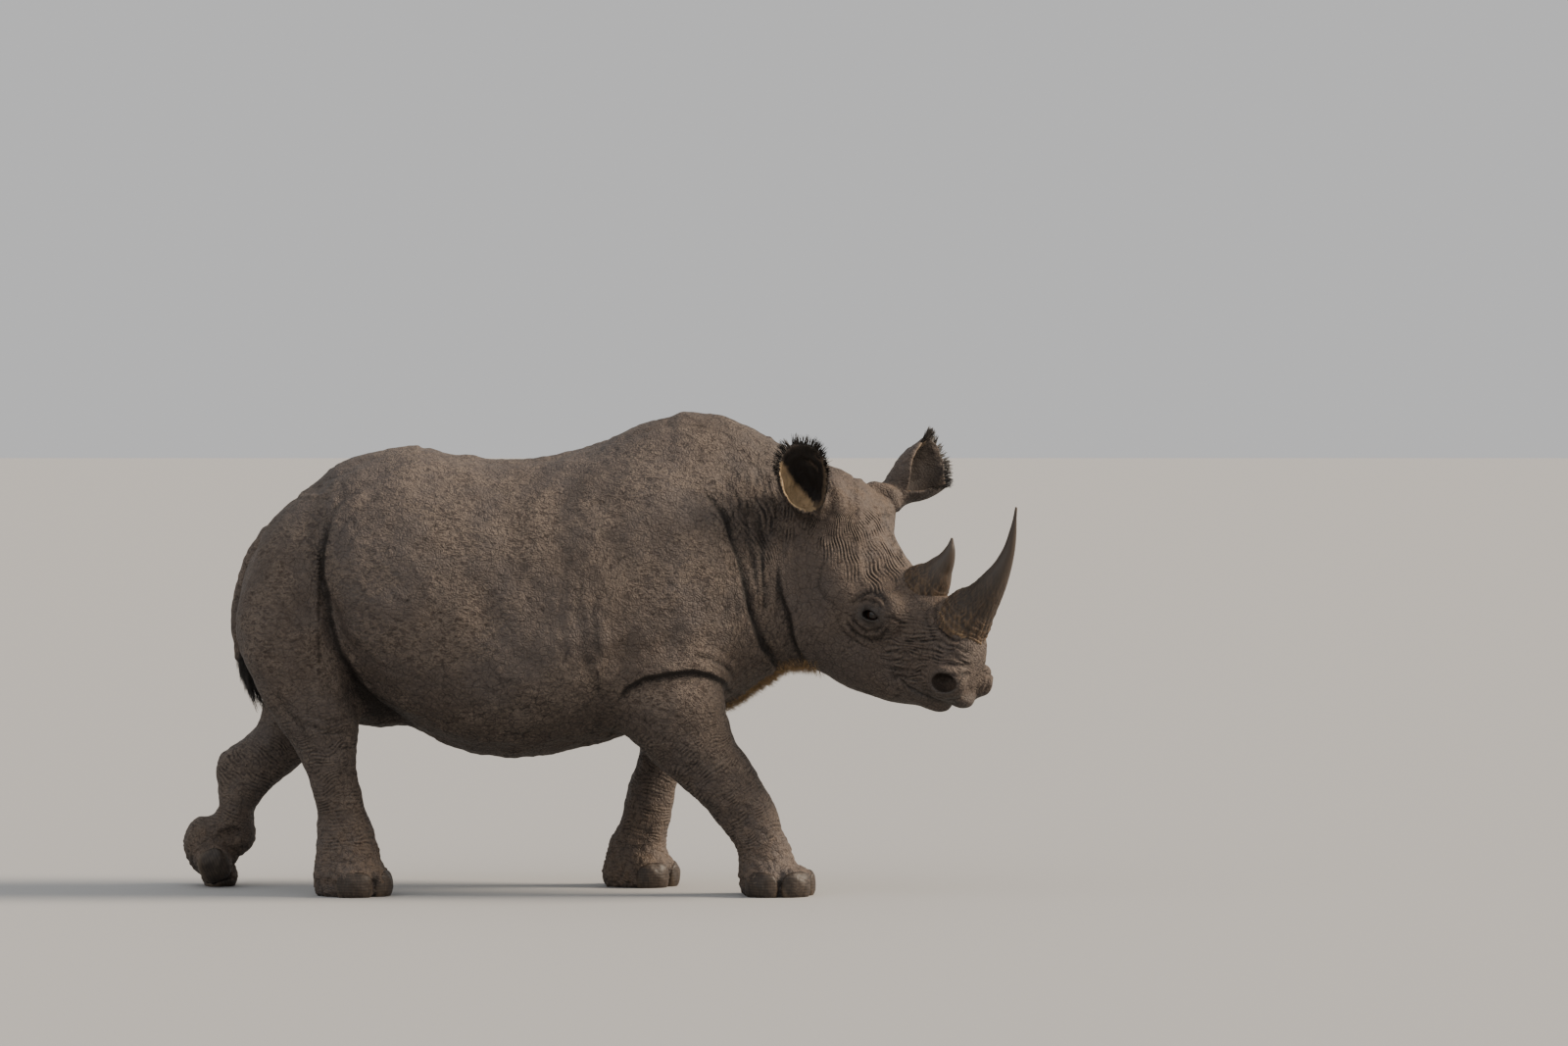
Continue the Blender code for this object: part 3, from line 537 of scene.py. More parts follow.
nostrils = {
    "turn": 24.0,
    "radius": 0.0355,
    "long": 1.25,
    "thickness": 0.0135,
    "out": 0.003,
    "lean": 0.60,  # how far the rim bends in towards the front
    "hole": ((0.003, 0.006, 0), (0.042, 0.056, 0.0300)),
    "reach": {"rim": 0.018, "hole": 0.006},
}


# A deep nostril under a raised, rounded rim; n is measured from its middle, with y outwards
def nostril(d, n):
    n = n @ np.array(Matrix.Rotation(math.radians(nostrils["turn"]), 3, "Y").transposed())
    fromRing = np.hypot(n[:, 0] / nostrils["long"], n[:, 2]) - nostrils["radius"]
    above = n[:, 1] + nostrils["lean"] * np.maximum(n[:, 0], 0) - nostrils["out"]
    d = joined(d, np.hypot(fromRing, above) - nostrils["thickness"], nostrils["reach"]["rim"])
    return -joined(-d, ellipsoid(n, *nostrils["hole"]), nostrils["reach"]["hole"])


def headField(p):
    q = toLocal(p, headMatrix())
    d = loft(q, head["skull"], power=2.4, taper=0.12, rounded=0.12)
    for side in sides.values():
        for kind, shape, reach in head["masses"].values():
            d = joined(d, kind(q * [1, side, 1], *shape), reach)
    mouth = joined(ellipsoid(q, *head["lip"]), ellipsoid(q, *head["chin"]), head["reach"]["mouth"])
    d = joined(d, mouth, head["reach"]["lips"])
    for side in sides.values():
        d = eyelids(d, (q - np.array(head["eye"]) * [1, side, 1]) * [1, side, 1])
        d = nostril(d, (q - np.array(head["nostril"]) * [1, side, 1]) * [1, side, 1])
    return d


# Boxes round the parts of the flesh, and how widely each part is filled in where it meets the rest
regions = {
    "trunk": ((-1.5, -0.6, 0.3), (0.7, 0.6, 1.7)),
    "tail": ((-1.4, -0.2, 0.6), (-0.9, 0.2, 1.4)),
    "neck": ((0.15, -0.5, 0.5), (1.0, 0.5, 1.7)),
    "head": ((0.35, -0.75, 0.5), (1.5, 0.35, 1.6)),
    "ears": ((0.45, -0.55, 1.1), (1.25, 0.4, 1.6)),
}
meets = {"neck": 0.06, "head": 0.09, "legs": 0.06, "ears": 0.018}


def fleshField(p):
    neck = within(p, *regions["neck"], lambda q: loft(q, trunk["neck"], taper=trunk["taper"]["neck"]))
    d = joined(within(p, *regions["trunk"], trunkField), neck, meets["neck"])
    d = joined(d, within(p, *regions["head"], headField), meets["head"])
    d = joined(d, legsField(p), meets["legs"])
    for name in sides:
        d = joined(d, within(p, *regions["ears"], lambda q: earField(q, ears[name])), meets["ears"])
    return np.maximum(d, stance["ground"] - p[:, 2])


# Places along one axis, whose spacing follows rows of place and spacing
def gridLine(rows, coarser=1.0):
    places, spacings = np.array(rows).T
    line = [places[0]]
    while line[-1] < places[-1]:
        line.append(line[-1] + coarser * np.interp(line[-1], places, spacings))
    return np.array(line)


# Surface where the field is zero, over an uneven grid; blocks far from it aren't sampled
def surfaceOf(field, axes, block=8):
    axes = [np.append(a, a[-1] + (a[-1] - a[-2]) * np.arange(1, 1 + (-len(a)) % block)) for a in axes]
    count = np.array([len(a) // block for a in axes])
    starts = [a[::block] for a in axes]
    spans = [np.append(s[1:], a[-1]) - s for s, a in zip(starts, axes)]
    corners = np.stack(np.meshgrid(*[np.arange(n) for n in count], indexing="ij"), -1).reshape(-1, 3)
    span = np.stack([spans[k][corners[:, k]] for k in range(3)], 1)
    low = np.stack([starts[k][corners[:, k]] for k in range(3)], 1)
    middle = np.concatenate(list(pool.map(field, np.array_split(low + span / 2, 64))))
    sign = np.where(middle < 0, -1.0, 1.0).astype(np.float32).reshape(count)
    values = sign.repeat(block, 0).repeat(block, 1).repeat(block, 2)
    steps = np.stack(np.meshgrid(*[np.arange(block)] * 3, indexing="ij"), -1).reshape(-1, 3)
    busy = corners[np.abs(middle) < 0.66 * np.linalg.norm(span, axis=1)]

    def sample(some):
        index = (some[:, None, :] * block + steps).reshape(-1, 3)
        p = np.stack([axes[k][index[:, k]] for k in range(3)], 1)
        values[tuple(index.T)] = field(p)

    list(pool.map(sample, np.array_split(busy, max(1, len(busy) // 48))))
    grid = openvdb.FloatGrid(1.0)
    grid.copyFromArray(values)
    points, quads = grid.convertToQuads(0.0)
    return np.stack([np.interp(points[:, k], np.arange(len(axes[k])), axes[k]) for k in range(3)], 1), quads


pool = ThreadPoolExecutor(4)


def spread(field, p):
    return np.concatenate(list(pool.map(field, np.array_split(p, 32))))


def slopeOf(field, p, step=0.0012):
    parts = [spread(field, p + way) - spread(field, p - way) for way in np.eye(3) * step]
    g = np.stack(parts, 1) / (2 * step)
    return g / np.maximum(np.linalg.norm(g, axis=1), 1e-6)[:, None]


# Points of a plane against a path: how far off, on which side (right is positive), and the share passed
def pathDistance(q, path):
    away, along, side = np.full(len(q), 1.0), np.zeros(len(q)), np.ones(len(q))
    path = np.array(path, float)
    for i, (a, b) in enumerate(zip(path[:-1], path[1:])):
        run = b - a
        t = np.clip((q - a) @ run / (run @ run), 0, 1)
        d = np.linalg.norm(q - a - t[:, None] * run, axis=1)
        across = (q[:, 0] - a[0]) * run[1] - (q[:, 1] - a[1]) * run[0]
        along = np.where(d < away, (i + t) / (len(path) - 1), along)
        side = np.where(d < away, np.sign(across), side)
        away = np.minimum(away, d)
    return away, side, along


# A fleshy crease: a valley with a soft roll on each side, dying out at its ends; its second value is the
# painted shade in the valley
def crease(q, depth, width, path):
    away, _, along = pathDistance(q, path)
    ends = np.clip(5 * np.minimum(along, 1 - along), 0, 1)
    valley = np.exp(-((away / width) ** 1.5))
    rolls = 0.4 * np.exp(-(((away - 2.3 * width) / (1.3 * width)) ** 2))
    return depth * ends * (rolls - valley), ends * valley


# An overhang: skin left of the path bulges, and skin right of it sinks in and comes up again slowly; its
# second value is the painted shade in the recess under it
def overhang(q, reach, bulge, rows):
    rows = np.array(rows, float)
    away, side, along = pathDistance(q, rows[:, :2])
    depth = np.interp(along * (len(rows) - 1), np.arange(len(rows)), rows[:, 2])
    signed = away * side
    step = 0.5 + 0.5 * np.tanh((signed + 0.001) / 0.005)
    down = step * np.exp(-np.maximum(signed, 0) / reach)
    up = (1 - step) * np.exp(-((away / 0.06) ** 2))
    line = np.exp(-((np.maximum(signed, 0) / (0.45 * reach)) ** 2)) * step
    line += (1 - step) * np.exp(-((away / 0.005) ** 2))
    return depth * (bulge * up - down), line * np.clip(depth / 0.012, 0, 1)


folds = {
    "overhangs": [  # reach, bulge, rows of x and z on the body's side and depth
        (0.050, 0.45, [
            (-0.885, 1.27, 0.0), (-0.900, 1.20, 0.008), (-0.905, 1.15, 0.013), (-0.907, 1.04, 0.019),
            (-0.888, 0.91, 0.022), (-0.846, 0.78, 0.028), (-0.793, 0.695, 0.034), (-0.722, 0.616, 0.030),
            (-0.65, 0.56, 0.012), (-0.60, 0.53, 0.0),
        ]),
        (0.030, 0.45, [
            (0.60, 0.72, 0.0), (0.57, 0.752, 0.014), (0.53, 0.808, 0.020), (0.502, 0.895, 0.020),
            (0.473, 1.023, 0.018), (0.450, 1.122, 0.016), (0.418, 1.222, 0.012), (0.375, 1.29, 0.008),
            (0.335, 1.34, 0.003), (0.31, 1.37, 0.0),
        ]),
        (0.028, 0.35, [
            (0.60, 1.09, 0.0), (0.608, 1.017, 0.012), (0.614, 0.942, 0.017), (0.632, 0.866, 0.020),
            (0.655, 0.808, 0.022), (0.680, 0.761, 0.018), (0.70, 0.73, 0.0),
        ]),
        (0.040, 0.40, [
            (0.055, 0.63, 0.0), (0.10, 0.685, 0.012), (0.16, 0.715, 0.018), (0.23, 0.730, 0.020),
            (0.31, 0.735, 0.020), (0.36, 0.722, 0.018), (0.40, 0.695, 0.014), (0.43, 0.65, 0.0),
        ]),
    ],
    "body": [  # depth, width, path of x and z on the body's side
        (0.020, 0.036, [
            (-0.835, 0.735), (-0.805, 0.680), (-0.775, 0.625), (-0.735, 0.580), (-0.680, 0.540),
            (-0.62, 0.52),
        ]),
        (0.0035, 0.018, [
            (-0.03, 1.12), (-0.055, 1.0), (-0.062, 0.90), (-0.05, 0.80), (-0.01, 0.69), (0.05, 0.58),
        ]),
        (0.0030, 0.015, [(0.02, 1.04), (-0.01, 0.94), (-0.02, 0.85), (-0.005, 0.76)]),
        (0.006, 0.010, [(0.50, 1.30), (0.53, 1.18), (0.545, 1.05), (0.555, 0.94), (0.58, 0.84)]),
        (0.006, 0.009, [(0.55, 1.27), (0.57, 1.15), (0.585, 1.03), (0.592, 0.94), (0.61, 0.85)]),
        (0.004, 0.008, [(0.44, 1.36), (0.475, 1.26), (0.505, 1.12), (0.525, 1.00), (0.54, 0.90)]),
        (0.005, 0.008, [(0.30, 0.790), (0.36, 0.780), (0.42, 0.745), (0.45, 0.69)]),
        (0.004, 0.008, [(-0.905, 1.20), (-0.885, 1.26), (-0.84, 1.31), (-0.78, 1.335)]),
        (0.004, 0.008, [(-0.895, 1.24), (-0.86, 1.30), (-0.80, 1.345), (-0.73, 1.365)]),
        (0.003, 0.007, [(-0.87, 1.17), (-0.84, 1.23), (-0.79, 1.28), (-0.72, 1.31)]),
        (0.003, 0.007, [(-0.84, 1.12), (-0.81, 1.18), (-0.76, 1.23), (-0.68, 1.26)]),
        (0.003, 0.007, [(-0.97, 1.355), (-0.91, 1.375), (-0.84, 1.40)]),
        (0.004, 0.010, [(-1.07, 0.66), (-1.02, 0.60), (-0.97, 0.54), (-0.945, 0.47)]),
        (0.003, 0.007, [(-0.97, 0.60), (-0.92, 0.575), (-0.86, 0.57), (-0.82, 0.58)]),
        (0.003, 0.007, [(-0.96, 0.55), (-0.91, 0.53), (-0.86, 0.525), (-0.82, 0.535)]),
    ],
    "head": [  # the same in the head's own frame: along and up
        (0.0032, 0.0085, [
            (-0.225, 0.07), (-0.212, 0.024), (-0.180, -0.026), (-0.13, -0.042), (-0.08, -0.046),
        ]),
        (0.0075, 0.0050, [
            (0.175, -0.128), (0.215, -0.133), (0.27, -0.128), (0.33, -0.114), (0.375, -0.096),
            (0.41, -0.082),
        ]),
        (0.0050, 0.0060, [(0.165, -0.155), (0.172, -0.130), (0.19, -0.112), (0.222, -0.108)]),
        (0.0035, 0.0050, [(0.148, -0.150), (0.156, -0.118), (0.185, -0.094), (0.24, -0.086)]),
        (0.0035, 0.0050, [(0.215, -0.165), (0.205, -0.140), (0.20, -0.120)]),
        (0.0030, 0.0045, [(0.12, -0.026), (0.15, 0.000), (0.187, 0.031), (0.225, 0.058), (0.25, 0.072)]),
        (0.0028, 0.0042, [(0.15, -0.040), (0.18, -0.014), (0.22, 0.016), (0.25, 0.034), (0.28, 0.046)]),
        (0.0032, 0.0045, [
            (0.075, -0.118), (0.12, -0.10), (0.17, -0.068), (0.215, -0.034), (0.25, 0.002),
            (0.275, 0.022),
        ]),
        (0.0030, 0.0042, [(0.09, -0.080), (0.13, -0.058), (0.18, -0.030), (0.215, -0.004)]),
        (0.0030, 0.0042, [
            (0.12, -0.132), (0.16, -0.108), (0.20, -0.082), (0.235, -0.062), (0.255, -0.066),
        ]),
        (0.0028, 0.0040, [(0.262, 0.052), (0.300, 0.056), (0.335, 0.052), (0.362, 0.044)]),
        (0.0026, 0.0040, [(0.284, 0.082), (0.315, 0.086), (0.345, 0.080)]),
        (0.0045, 0.0050, [(0.30, 0.020), (0.34, 0.040), (0.37, 0.052)]),
        (0.0040, 0.0050, [(0.335, 0.000), (0.365, 0.018), (0.39, 0.03)]),
        (0.0065, 0.0060, [(0.125, 0.155), (0.160, 0.118), (0.205, 0.092), (0.26, 0.092), (0.31, 0.115)]),
        (0.0035, 0.0055, [(0.115, 0.12), (0.15, 0.085), (0.195, 0.062), (0.24, 0.058)]),
        (0.0055, 0.0055, [
            (-0.058, -0.026), (-0.039, -0.047), (-0.012, -0.058), (0.015, -0.057), (0.040, -0.040),
            (0.052, -0.012), (0.058, 0.014),
        ]),
        (0.0050, 0.0055, [
            (-0.066, -0.050), (-0.042, -0.073), (-0.005, -0.086), (0.041, -0.080), (0.064, -0.050),
            (0.071, -0.010), (0.068, 0.025),
        ]),
        (0.0055, 0.0065, [
            (-0.080, -0.022), (-0.074, 0.005), (-0.062, 0.036), (-0.045, 0.060), (-0.012, 0.071),
            (0.025, 0.062), (0.052, 0.046),
        ]),
        (0.0045, 0.0045, [
            (-0.054, 0.004), (-0.045, 0.027), (-0.024, 0.042), (0.008, 0.046), (0.036, 0.042),
        ]),
        (0.0045, 0.0045, [(0.040, 0.026), (0.060, 0.034), (0.085, 0.036), (0.105, 0.030)]),
        (0.0030, 0.0055, [
            (-0.095, -0.055), (-0.075, -0.088), (-0.035, -0.108), (0.02, -0.112), (0.07, -0.098),
        ]),
    ],
    "lines": {  # fine wrinkles; length is from line to line, drawn is how strongly they show: in their bump, and in painted highlight on their crests and painted shade in their grooves
        "muzzle": {"depth": 0.0020, "length": 0.0130, "wander": 0.0050, "drawn": 1.30, "seed": 12},
        "brow": {"depth": 0.0034, "length": 0.0155, "wander": 0.0045, "drawn": 1.75, "seed": 14},
        "leg": {"depth": 0.0009, "length": 0.0125, "wander": 0.0050, "drawn": 0.90, "seed": 15},
        "neck": {"depth": 0.0026, "length": 0.0160, "wander": 0.0045, "drawn": 1.50, "seed": 13},
    },
    "wander": {  # how the folds' lines waver: height, and size and seed each way
        "body": (0.005, ((0.22, 8), (0.20, 9))),
        "head": (0.0018, ((0.045, 6), (0.045, 7))),
    },
    "foldShade": {"body": (1.0, 90), "head": (0.85, 125)},  # painted shade in folds: the most, and how much more with depth
    "edges": {"head": ((-0.42, 0.06), 0.55, (-0.36, 0.03)), "flank": (0.10, 0.06), "cheek": (0.03, 0.03)},
    "soles": (0.24, -0.12),
    "waves": {  # unevenness of the skin: height, size and seed
        "lumps": (0.0018, 0.12, 1),
        "dimples": (0.0008, 0.04, 2),
        "soles": (0.0013, 0.024, 16),
        "upright": (0.0013, 0.032, 3),
    },
}

# Where each family of wrinkles shows: low, high and softness of a band, or start and run of a ramp
zones = {
    "neck": {
        "middle": (0.605, 1.0), "spacing": 0.21, "bend": 2.2, "far": (0.05, 0.44, 0.08),
        "from": (0.55, 0.2), "to": (2.3, -0.3), "cheek": (-0.37, 0.07), "across": -0.06,
        "side": (0.10, 0.05),
    },
    "brow": {
        "middle": (-0.33, 0.235), "spacing": 0.19, "angle": (-0.35, 1.75, 0.35), "far": (0.01, 0.38, 0.06),
        "above": (0.045, 0.03), "along": (0.02, -0.05),
    },
    "muzzle": {
        "line": [(-0.20, -0.372), (0.330, -0.035)], "along": (0.06, 0.42, 0.05), "up": (-0.15, 0.11, 0.04),
        "nostril": (0.042, 0.02), "side": (0.03, 0.03),
    },
    "upright": {
        "neck": ((0.34, 0.80, 0.10), (0.66, 1.60, 0.08)), "ribs": ((-0.22, 0.16, 0.10), (0.62, 1.25, 0.12)),
        "side": (0.08, 0.08),
    },
    "leg": {"up": (0.03, 0.66, 0.16), "within": (0.03, 0.30, 0.75)},
}


# Which way skin is ridged round the neck and the root of the ear: lines that fan up from behind the jaw
def neckFan(p):
    zone = zones["neck"]
    x, z = p[:, 0] - zone["middle"][0], p[:, 2] - zone["middle"][1]
    far = np.hypot(x, z)
    angle = np.arctan2(z, x)
    phase = zone["spacing"] * (angle - zone["bend"] * far * np.clip(np.cos(angle), 0, 1))
    show = bump(far, *zone["far"]) * ramp(angle, *zone["from"]) * ramp(angle, *zone["to"])
    cheek = ramp(toLocal(p, headMatrix())[:, 0], *zone["cheek"])
    return phase, show * (1 - cheek) * ramp(np.abs(p[:, 1] - zone["across"]), *zone["side"])


# Over the forehead, lines run from the foot of the ear along the skull and fan out to the cheek
def browFan(q, onHead):
    zone = zones["brow"]
    x, z = q[:, 0] - zone["middle"][0], q[:, 2] - zone["middle"][1]
    angle = -np.arctan2(z, x)
    show = bump(angle, *zone["angle"]) * bump(np.hypot(x, z), *zone["far"]) * ramp(q[:, 2], *zone["above"])
    return zone["spacing"] * angle + np.abs(q[:, 1]), show * ramp(q[:, 0], *zone["along"]) * onHead


# Each family of fine wrinkles: how many lines come before each point, and how strongly they show there
def wrinkles(p, q, onHead):
    families = {"muzzle": muzzleLines(q, onHead), "brow": browFan(q, onHead)}
    families.update({"leg": rings(p), "neck": neckFan(p)})
    for name, (phase, show) in families.items():
        made = folds["lines"][name]
        here = (show > 0).astype(float)
        turns = (phase + wavesWhere(made["wander"] * here, p, 0.11, made["seed"])) / made["length"]
        uneven = wavesWhere(0.6 * here, p, 0.05, made["seed"] + 20)
        yield name, turns, show * np.clip(0.75 + uneven, 0.15, 1)


# How far folds and wrinkles move the skin out, and how much painted shade each point gets in a fold
def relief(p):
    lift, recessShade = np.zeros(len(p)), np.zeros(len(p))
    q = toLocal(p, headMatrix())
    behind, after, below = folds["edges"]["head"]
    onHead = ramp(q[:, 0], *behind) * (p[:, 0] > after) * ramp(q[:, 2], *below)
    flank = ramp(np.abs(p[:, 1]), *folds["edges"]["flank"])
    height, ways = folds["wander"]["body"]
    wobbled = p[:, [0, 2]] + height * np.stack([waves(p, *way) for way in ways], 1)
    most, more = folds["foldShade"]["body"]
    for reach, bulge, rows in folds["overhangs"]:
        raised, inside = overhang(wobbled, reach, bulge, rows)
        lift += raised * flank
        recessShade = np.maximum(recessShade, inside * flank)
    for depth, width, path in folds["body"]:
        raised, inside = crease(wobbled, depth, width, path)
        lift += raised * flank * (1 - onHead)
        recessShade = np.maximum(recessShade, min(most, more * depth) * inside * flank * (1 - onHead))
    cheek = ramp(np.abs(q[:, 1]), *folds["edges"]["cheek"]) * onHead
    height, ways = folds["wander"]["head"]
    faced = q[:, [0, 2]] + np.stack([wavesWhere(height * (cheek > 0), p, *way) for way in ways], 1)
    most, more = folds["foldShade"]["head"]
    for depth, width, path in folds["head"]:
        raised, inside = crease(faced, depth, width, path)
        lift += raised * cheek
        recessShade = np.maximum(recessShade, min(most, more * depth) * inside * cheek)
    for name, turns, show in wrinkles(p, q, onHead):
        lift += folds["lines"][name]["depth"] * (np.abs(np.sin(np.pi * turns)) - 0.6) * show
    body, made = 1 - onHead, folds["waves"]
    lumps = body * made["lumps"][0] * waves(p * [1, 1, 0.7], *made["lumps"][1:])
    lift += lumps + made["dimples"][0] * waves(p, *made["dimples"][1:]) * (0.35 + 0.65 * body)
    feetOnly = made["soles"][0] * ramp(p[:, 2], *folds["soles"])
    lift += wavesWhere(feetOnly, p * [1, 1, 1.3], *made["soles"][1:])
    lift += wavesWhere(made["upright"][0] * uprightShare(p), p * [1.0, 1.0, 0.22], *made["upright"][1:])
    return lift, recessShade


# Over the muzzle, wrinkles run level from below the eye and turn down round the front of the nostril
def muzzleLines(q, onHead):
    zone, r = zones["muzzle"], oneSided(q)
    away = pathDistance(q[:, [0, 2]], zone["line"])[0]
    nostril = np.linalg.norm((r - np.array(head["nostril"])) / [1.3, 1.2, 1], axis=1)
    show = bump(q[:, 0], *zone["along"]) * bump(q[:, 2], *zone["up"]) * ramp(nostril, *zone["nostril"])
    return away, show * onHead * ramp(r[:, 1], *zone["side"])


# Where wrinkles run up and down: the neck, the front of the shoulder and the side behind it
def uprightShare(p):
    zone = zones["upright"]
    neck = bump(p[:, 0], *zone["neck"][0]) * bump(p[:, 2], *zone["neck"][1])
    ribs = bump(p[:, 0], *zone["ribs"][0]) * bump(p[:, 2], *zone["ribs"][1]) * 0.7
    return np.maximum(neck, ribs) * ramp(np.abs(p[:, 1]), *zone["side"])


# Length along a leg and how strongly its rings show, 0 away from the legs
def rings(p):
    along, show = np.zeros(len(p)), np.zeros(len(p))
    inner, reach, top = zones["leg"]["within"]
    for leg in legs.values():
        rows = np.array(leg["rows"])[::-1]
        z, centre = rows[:, 0], (rows[:, 1] + rows[:, 2]) / 2
        length = np.concatenate([[0], np.cumsum(np.hypot(np.diff(z), np.diff(centre)))])
        lean = np.interp(p[:, 2], z, np.gradient(centre, z))
        x = p[:, 0] - np.interp(p[:, 2], z, centre)
        mine = (p[:, 1] * leg["side"] > inner) & (np.abs(x) < reach) & (p[:, 2] < top)
        along = np.where(mine, np.interp(p[:, 2], z, length) + x * lean / np.sqrt(1 + lean**2), along)
        show = np.where(mine, bump(p[:, 2], *zones["leg"]["up"]), show)
    return along, show


skin = {
    "grid": [  # place and spacing along each axis
        [
            (-1.46, 0.0065), (0.40, 0.0065), (0.60, 0.0040), (0.75, 0.0034), (0.88, 0.0024), (0.98, 0.0024),
            (1.08, 0.0030), (1.40, 0.0034),
        ],
        [(-0.57, 0.0050), (-0.42, 0.0034), (-0.06, 0.0034), (0.06, 0.0045), (0.52, 0.0050)],
        [
            (-0.03, 0.0040), (0.20, 0.0046), (0.50, 0.0048), (0.66, 0.0032), (0.76, 0.0030), (0.87, 0.0024),
            (0.97, 0.0024), (1.10, 0.0036), (1.52, 0.0040), (1.62, 0.0055),
        ],
    ],
    "fineness": {"head": 0.20, "muzzle": 0.2, "eye": 0.5, "rest": 0.02},
    "triangles": 197000,
    "thinning": 2e-6,
    "quickCoarser": 1.8,
}


def newObject(name, mesh):
    made = bpy.data.objects.new(name, mesh)
    bpy.context.scene.collection.objects.link(made)
    return made


def plainMesh(name, points, faces):
    mesh = bpy.data.meshes.new(name)
    mesh.from_pydata(np.asarray(points).tolist(), [], np.asarray(faces).tolist() if len(faces) else [])
    return mesh


def applied(made):
    graph = bpy.context.evaluated_depsgraph_get()
    mesh = bpy.data.meshes.new_from_object(made.evaluated_get(graph), depsgraph=graph)
    made.modifiers.clear()
    made.data = mesh
    return made


def pointsOf(mesh):
    points = np.empty(len(mesh.vertices) * 3)
    mesh.vertices.foreach_get("co", points)
    return points.reshape(-1, 3)


def giveValues(mesh, name, values):
    mesh.attributes.new(name, "FLOAT", "POINT").data.foreach_set("value", np.asarray(values, np.float32))


# Last step of every piece: moved to its place, with its look, its body and the nodes that it stands for
def finished(made, slot, look, *nodes):
    made.data.transform(Matrix.Translation(stance["toOrigin"]))
    made.data.materials.clear()
    made.data.materials.append(look)
    for polygon in made.data.polygons:
        polygon.use_smooth = True
    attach(made, "root")
    if nodes:
        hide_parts(*nodes)
    return made


# How much finer the mesh stays: most round eyes and nostrils, then over muzzle, head and ears
def fineness(p):
    q = toLocal(p, headMatrix())
    face = ramp(q[:, 0], -0.50, 0.10) * (p[:, 0] > 0.5)
    near = []
    for key, reach in (("eye", 0.06), ("nostril", 0.07)):
        near.append(np.clip(1.6 - np.linalg.norm(oneSided(q) - np.array(head[key]), axis=1) / reach, 0, 1))
    muzzle = ramp(q[:, 0], 0.05, 0.10)
    ear = np.zeros(len(p))
    for name in sides:
        e = toLocal(p, earMatrix(ears[name])) - [0, 0, 0.14]
        ear = np.maximum(ear, ramp(np.linalg.norm(e, axis=1), 0.19, -0.03))
    finer = skin["fineness"]
    fine = finer["head"] * np.maximum(face, ear) + finer["muzzle"] * face * muzzle
    return fine + finer["eye"] * face * np.maximum(*near) + finer["rest"]


# One mesh from the field, thinned, then marked with values that its material reads
def makeSkin(look):
    coarser = 1.0
    axes = [gridLine(rows, coarser) for rows in skin["grid"]]
    points, quads = surfaceOf(fleshField, axes)
    print(f"skin sampled: {len(quads)} quads")
    slope = slopeOf(fleshField, points)
    lift = np.concatenate(list(pool.map(lambda p: relief(p)[0], np.array_split(points, 32))))
    fine = fineness(points)
    points = points + slope * lift[:, None]
    points[:, 2] = np.maximum(points[:, 2], stance["ground"])
    made = newObject("skin", plainMesh("skin", points, quads))
    group = made.vertex_groups.new(name="coarse")
    steps = np.round((1 - fine) * 40) / 40
    for step in np.unique(steps):
        group.add(np.flatnonzero(steps == step).tolist(), float(step), "REPLACE")
    thin = made.modifiers.new("thin", "DECIMATE")
    thin.ratio = min(1.0, skin["triangles"] / (2 * len(quads)))
    thin.vertex_group = group.name
    thin.vertex_group_factor = skin["thinning"]
    applied(made)
    made.vertex_groups.clear()
    print(f"skin thinned: {len(made.data.polygons)} triangles")
    keepLargest(made.data)
    markSkin(made.data)
    return finished(made, "skin", look, "head", "neck", "trunk", "tail", "ear_right", "ear_left", *legs)


# Removes loose crumbs, so that the skin is one body
def keepLargest(mesh):
    shape = bmesh.new()
    shape.from_mesh(mesh)
    unseen, bodies = set(shape.verts), []
    while unseen:
        start = unseen.pop()
        body, edge = [start], [start]
        while edge:
            for link in edge.pop().link_edges:
                for other in link.verts:
                    if other in unseen:
                        unseen.remove(other)
                        body.append(other)
                        edge.append(other)
        bodies.append(body)
    bodies.sort(key=len)
    bmesh.ops.delete(shape, geom=[v for body in bodies[:-1] for v in body], context="VERTS")
    shape.to_mesh(mesh)
    shape.free()


# Values that the skin's material reads: ramps have a start and a run, bands have low, high and softness
marks = {
    "onHead": ((-0.46, 0.10), (0.55, 0.1)),
    "dustAndCrownLight": {"legs": (0.42, -0.4), "crownLight": 0.9},
    "napeShade": {"strength": 0.5, "along": (0.26, 1.0, 0.18), "up": (0.5, 0.1)},
    "cleftShade": {"depth": 0.9, "out": 0.16, "width": 0.12, "up": (0.085, -0.03)},
    "eye": {"reach": 0.040, "squash": 1.35, "full": 1.7, "outside": 0.08},
    "nostril": {"reach": 0.026, "squash": (1.2, 1, 1), "full": 1.9},
    "lips": {"strength": 0.5, "width": 0.05, "along": (0.20, 0.46, 0.06)},
    "ear": {"litBand": 0.12, "rim": (0.90, 0.08), "rimLit": 0.18, "rimTop": 0.8, "root": 0.03, "front": 0.11},
}


# How much painted shade each point gets between two toes
def toeCleftShade(p):
    mark = marks["cleftShade"]
    recessShade = np.zeros(len(p))
    angles = np.radians(sorted(feet["toes"].values()))
    for leg in legs.values():
        q = toLocal(p, footMatrix(leg))
        out = np.hypot(q[:, 0], q[:, 1])
        near = (out < mark["out"]) & (q[:, 2] > -0.02) & (q[:, 0] > 0)
        turned = np.arctan2(q[:, 1], q[:, 0])
        for low, high in zip(angles[:-1], angles[1:]):
            between = np.exp(-(((turned - (low + high) / 2) / mark["width"]) ** 2))
            between = between * ramp(q[:, 2], *mark["up"])
            recessShade = np.where(near, np.maximum(recessShade, mark["depth"] * between), recessShade)
    return recessShade
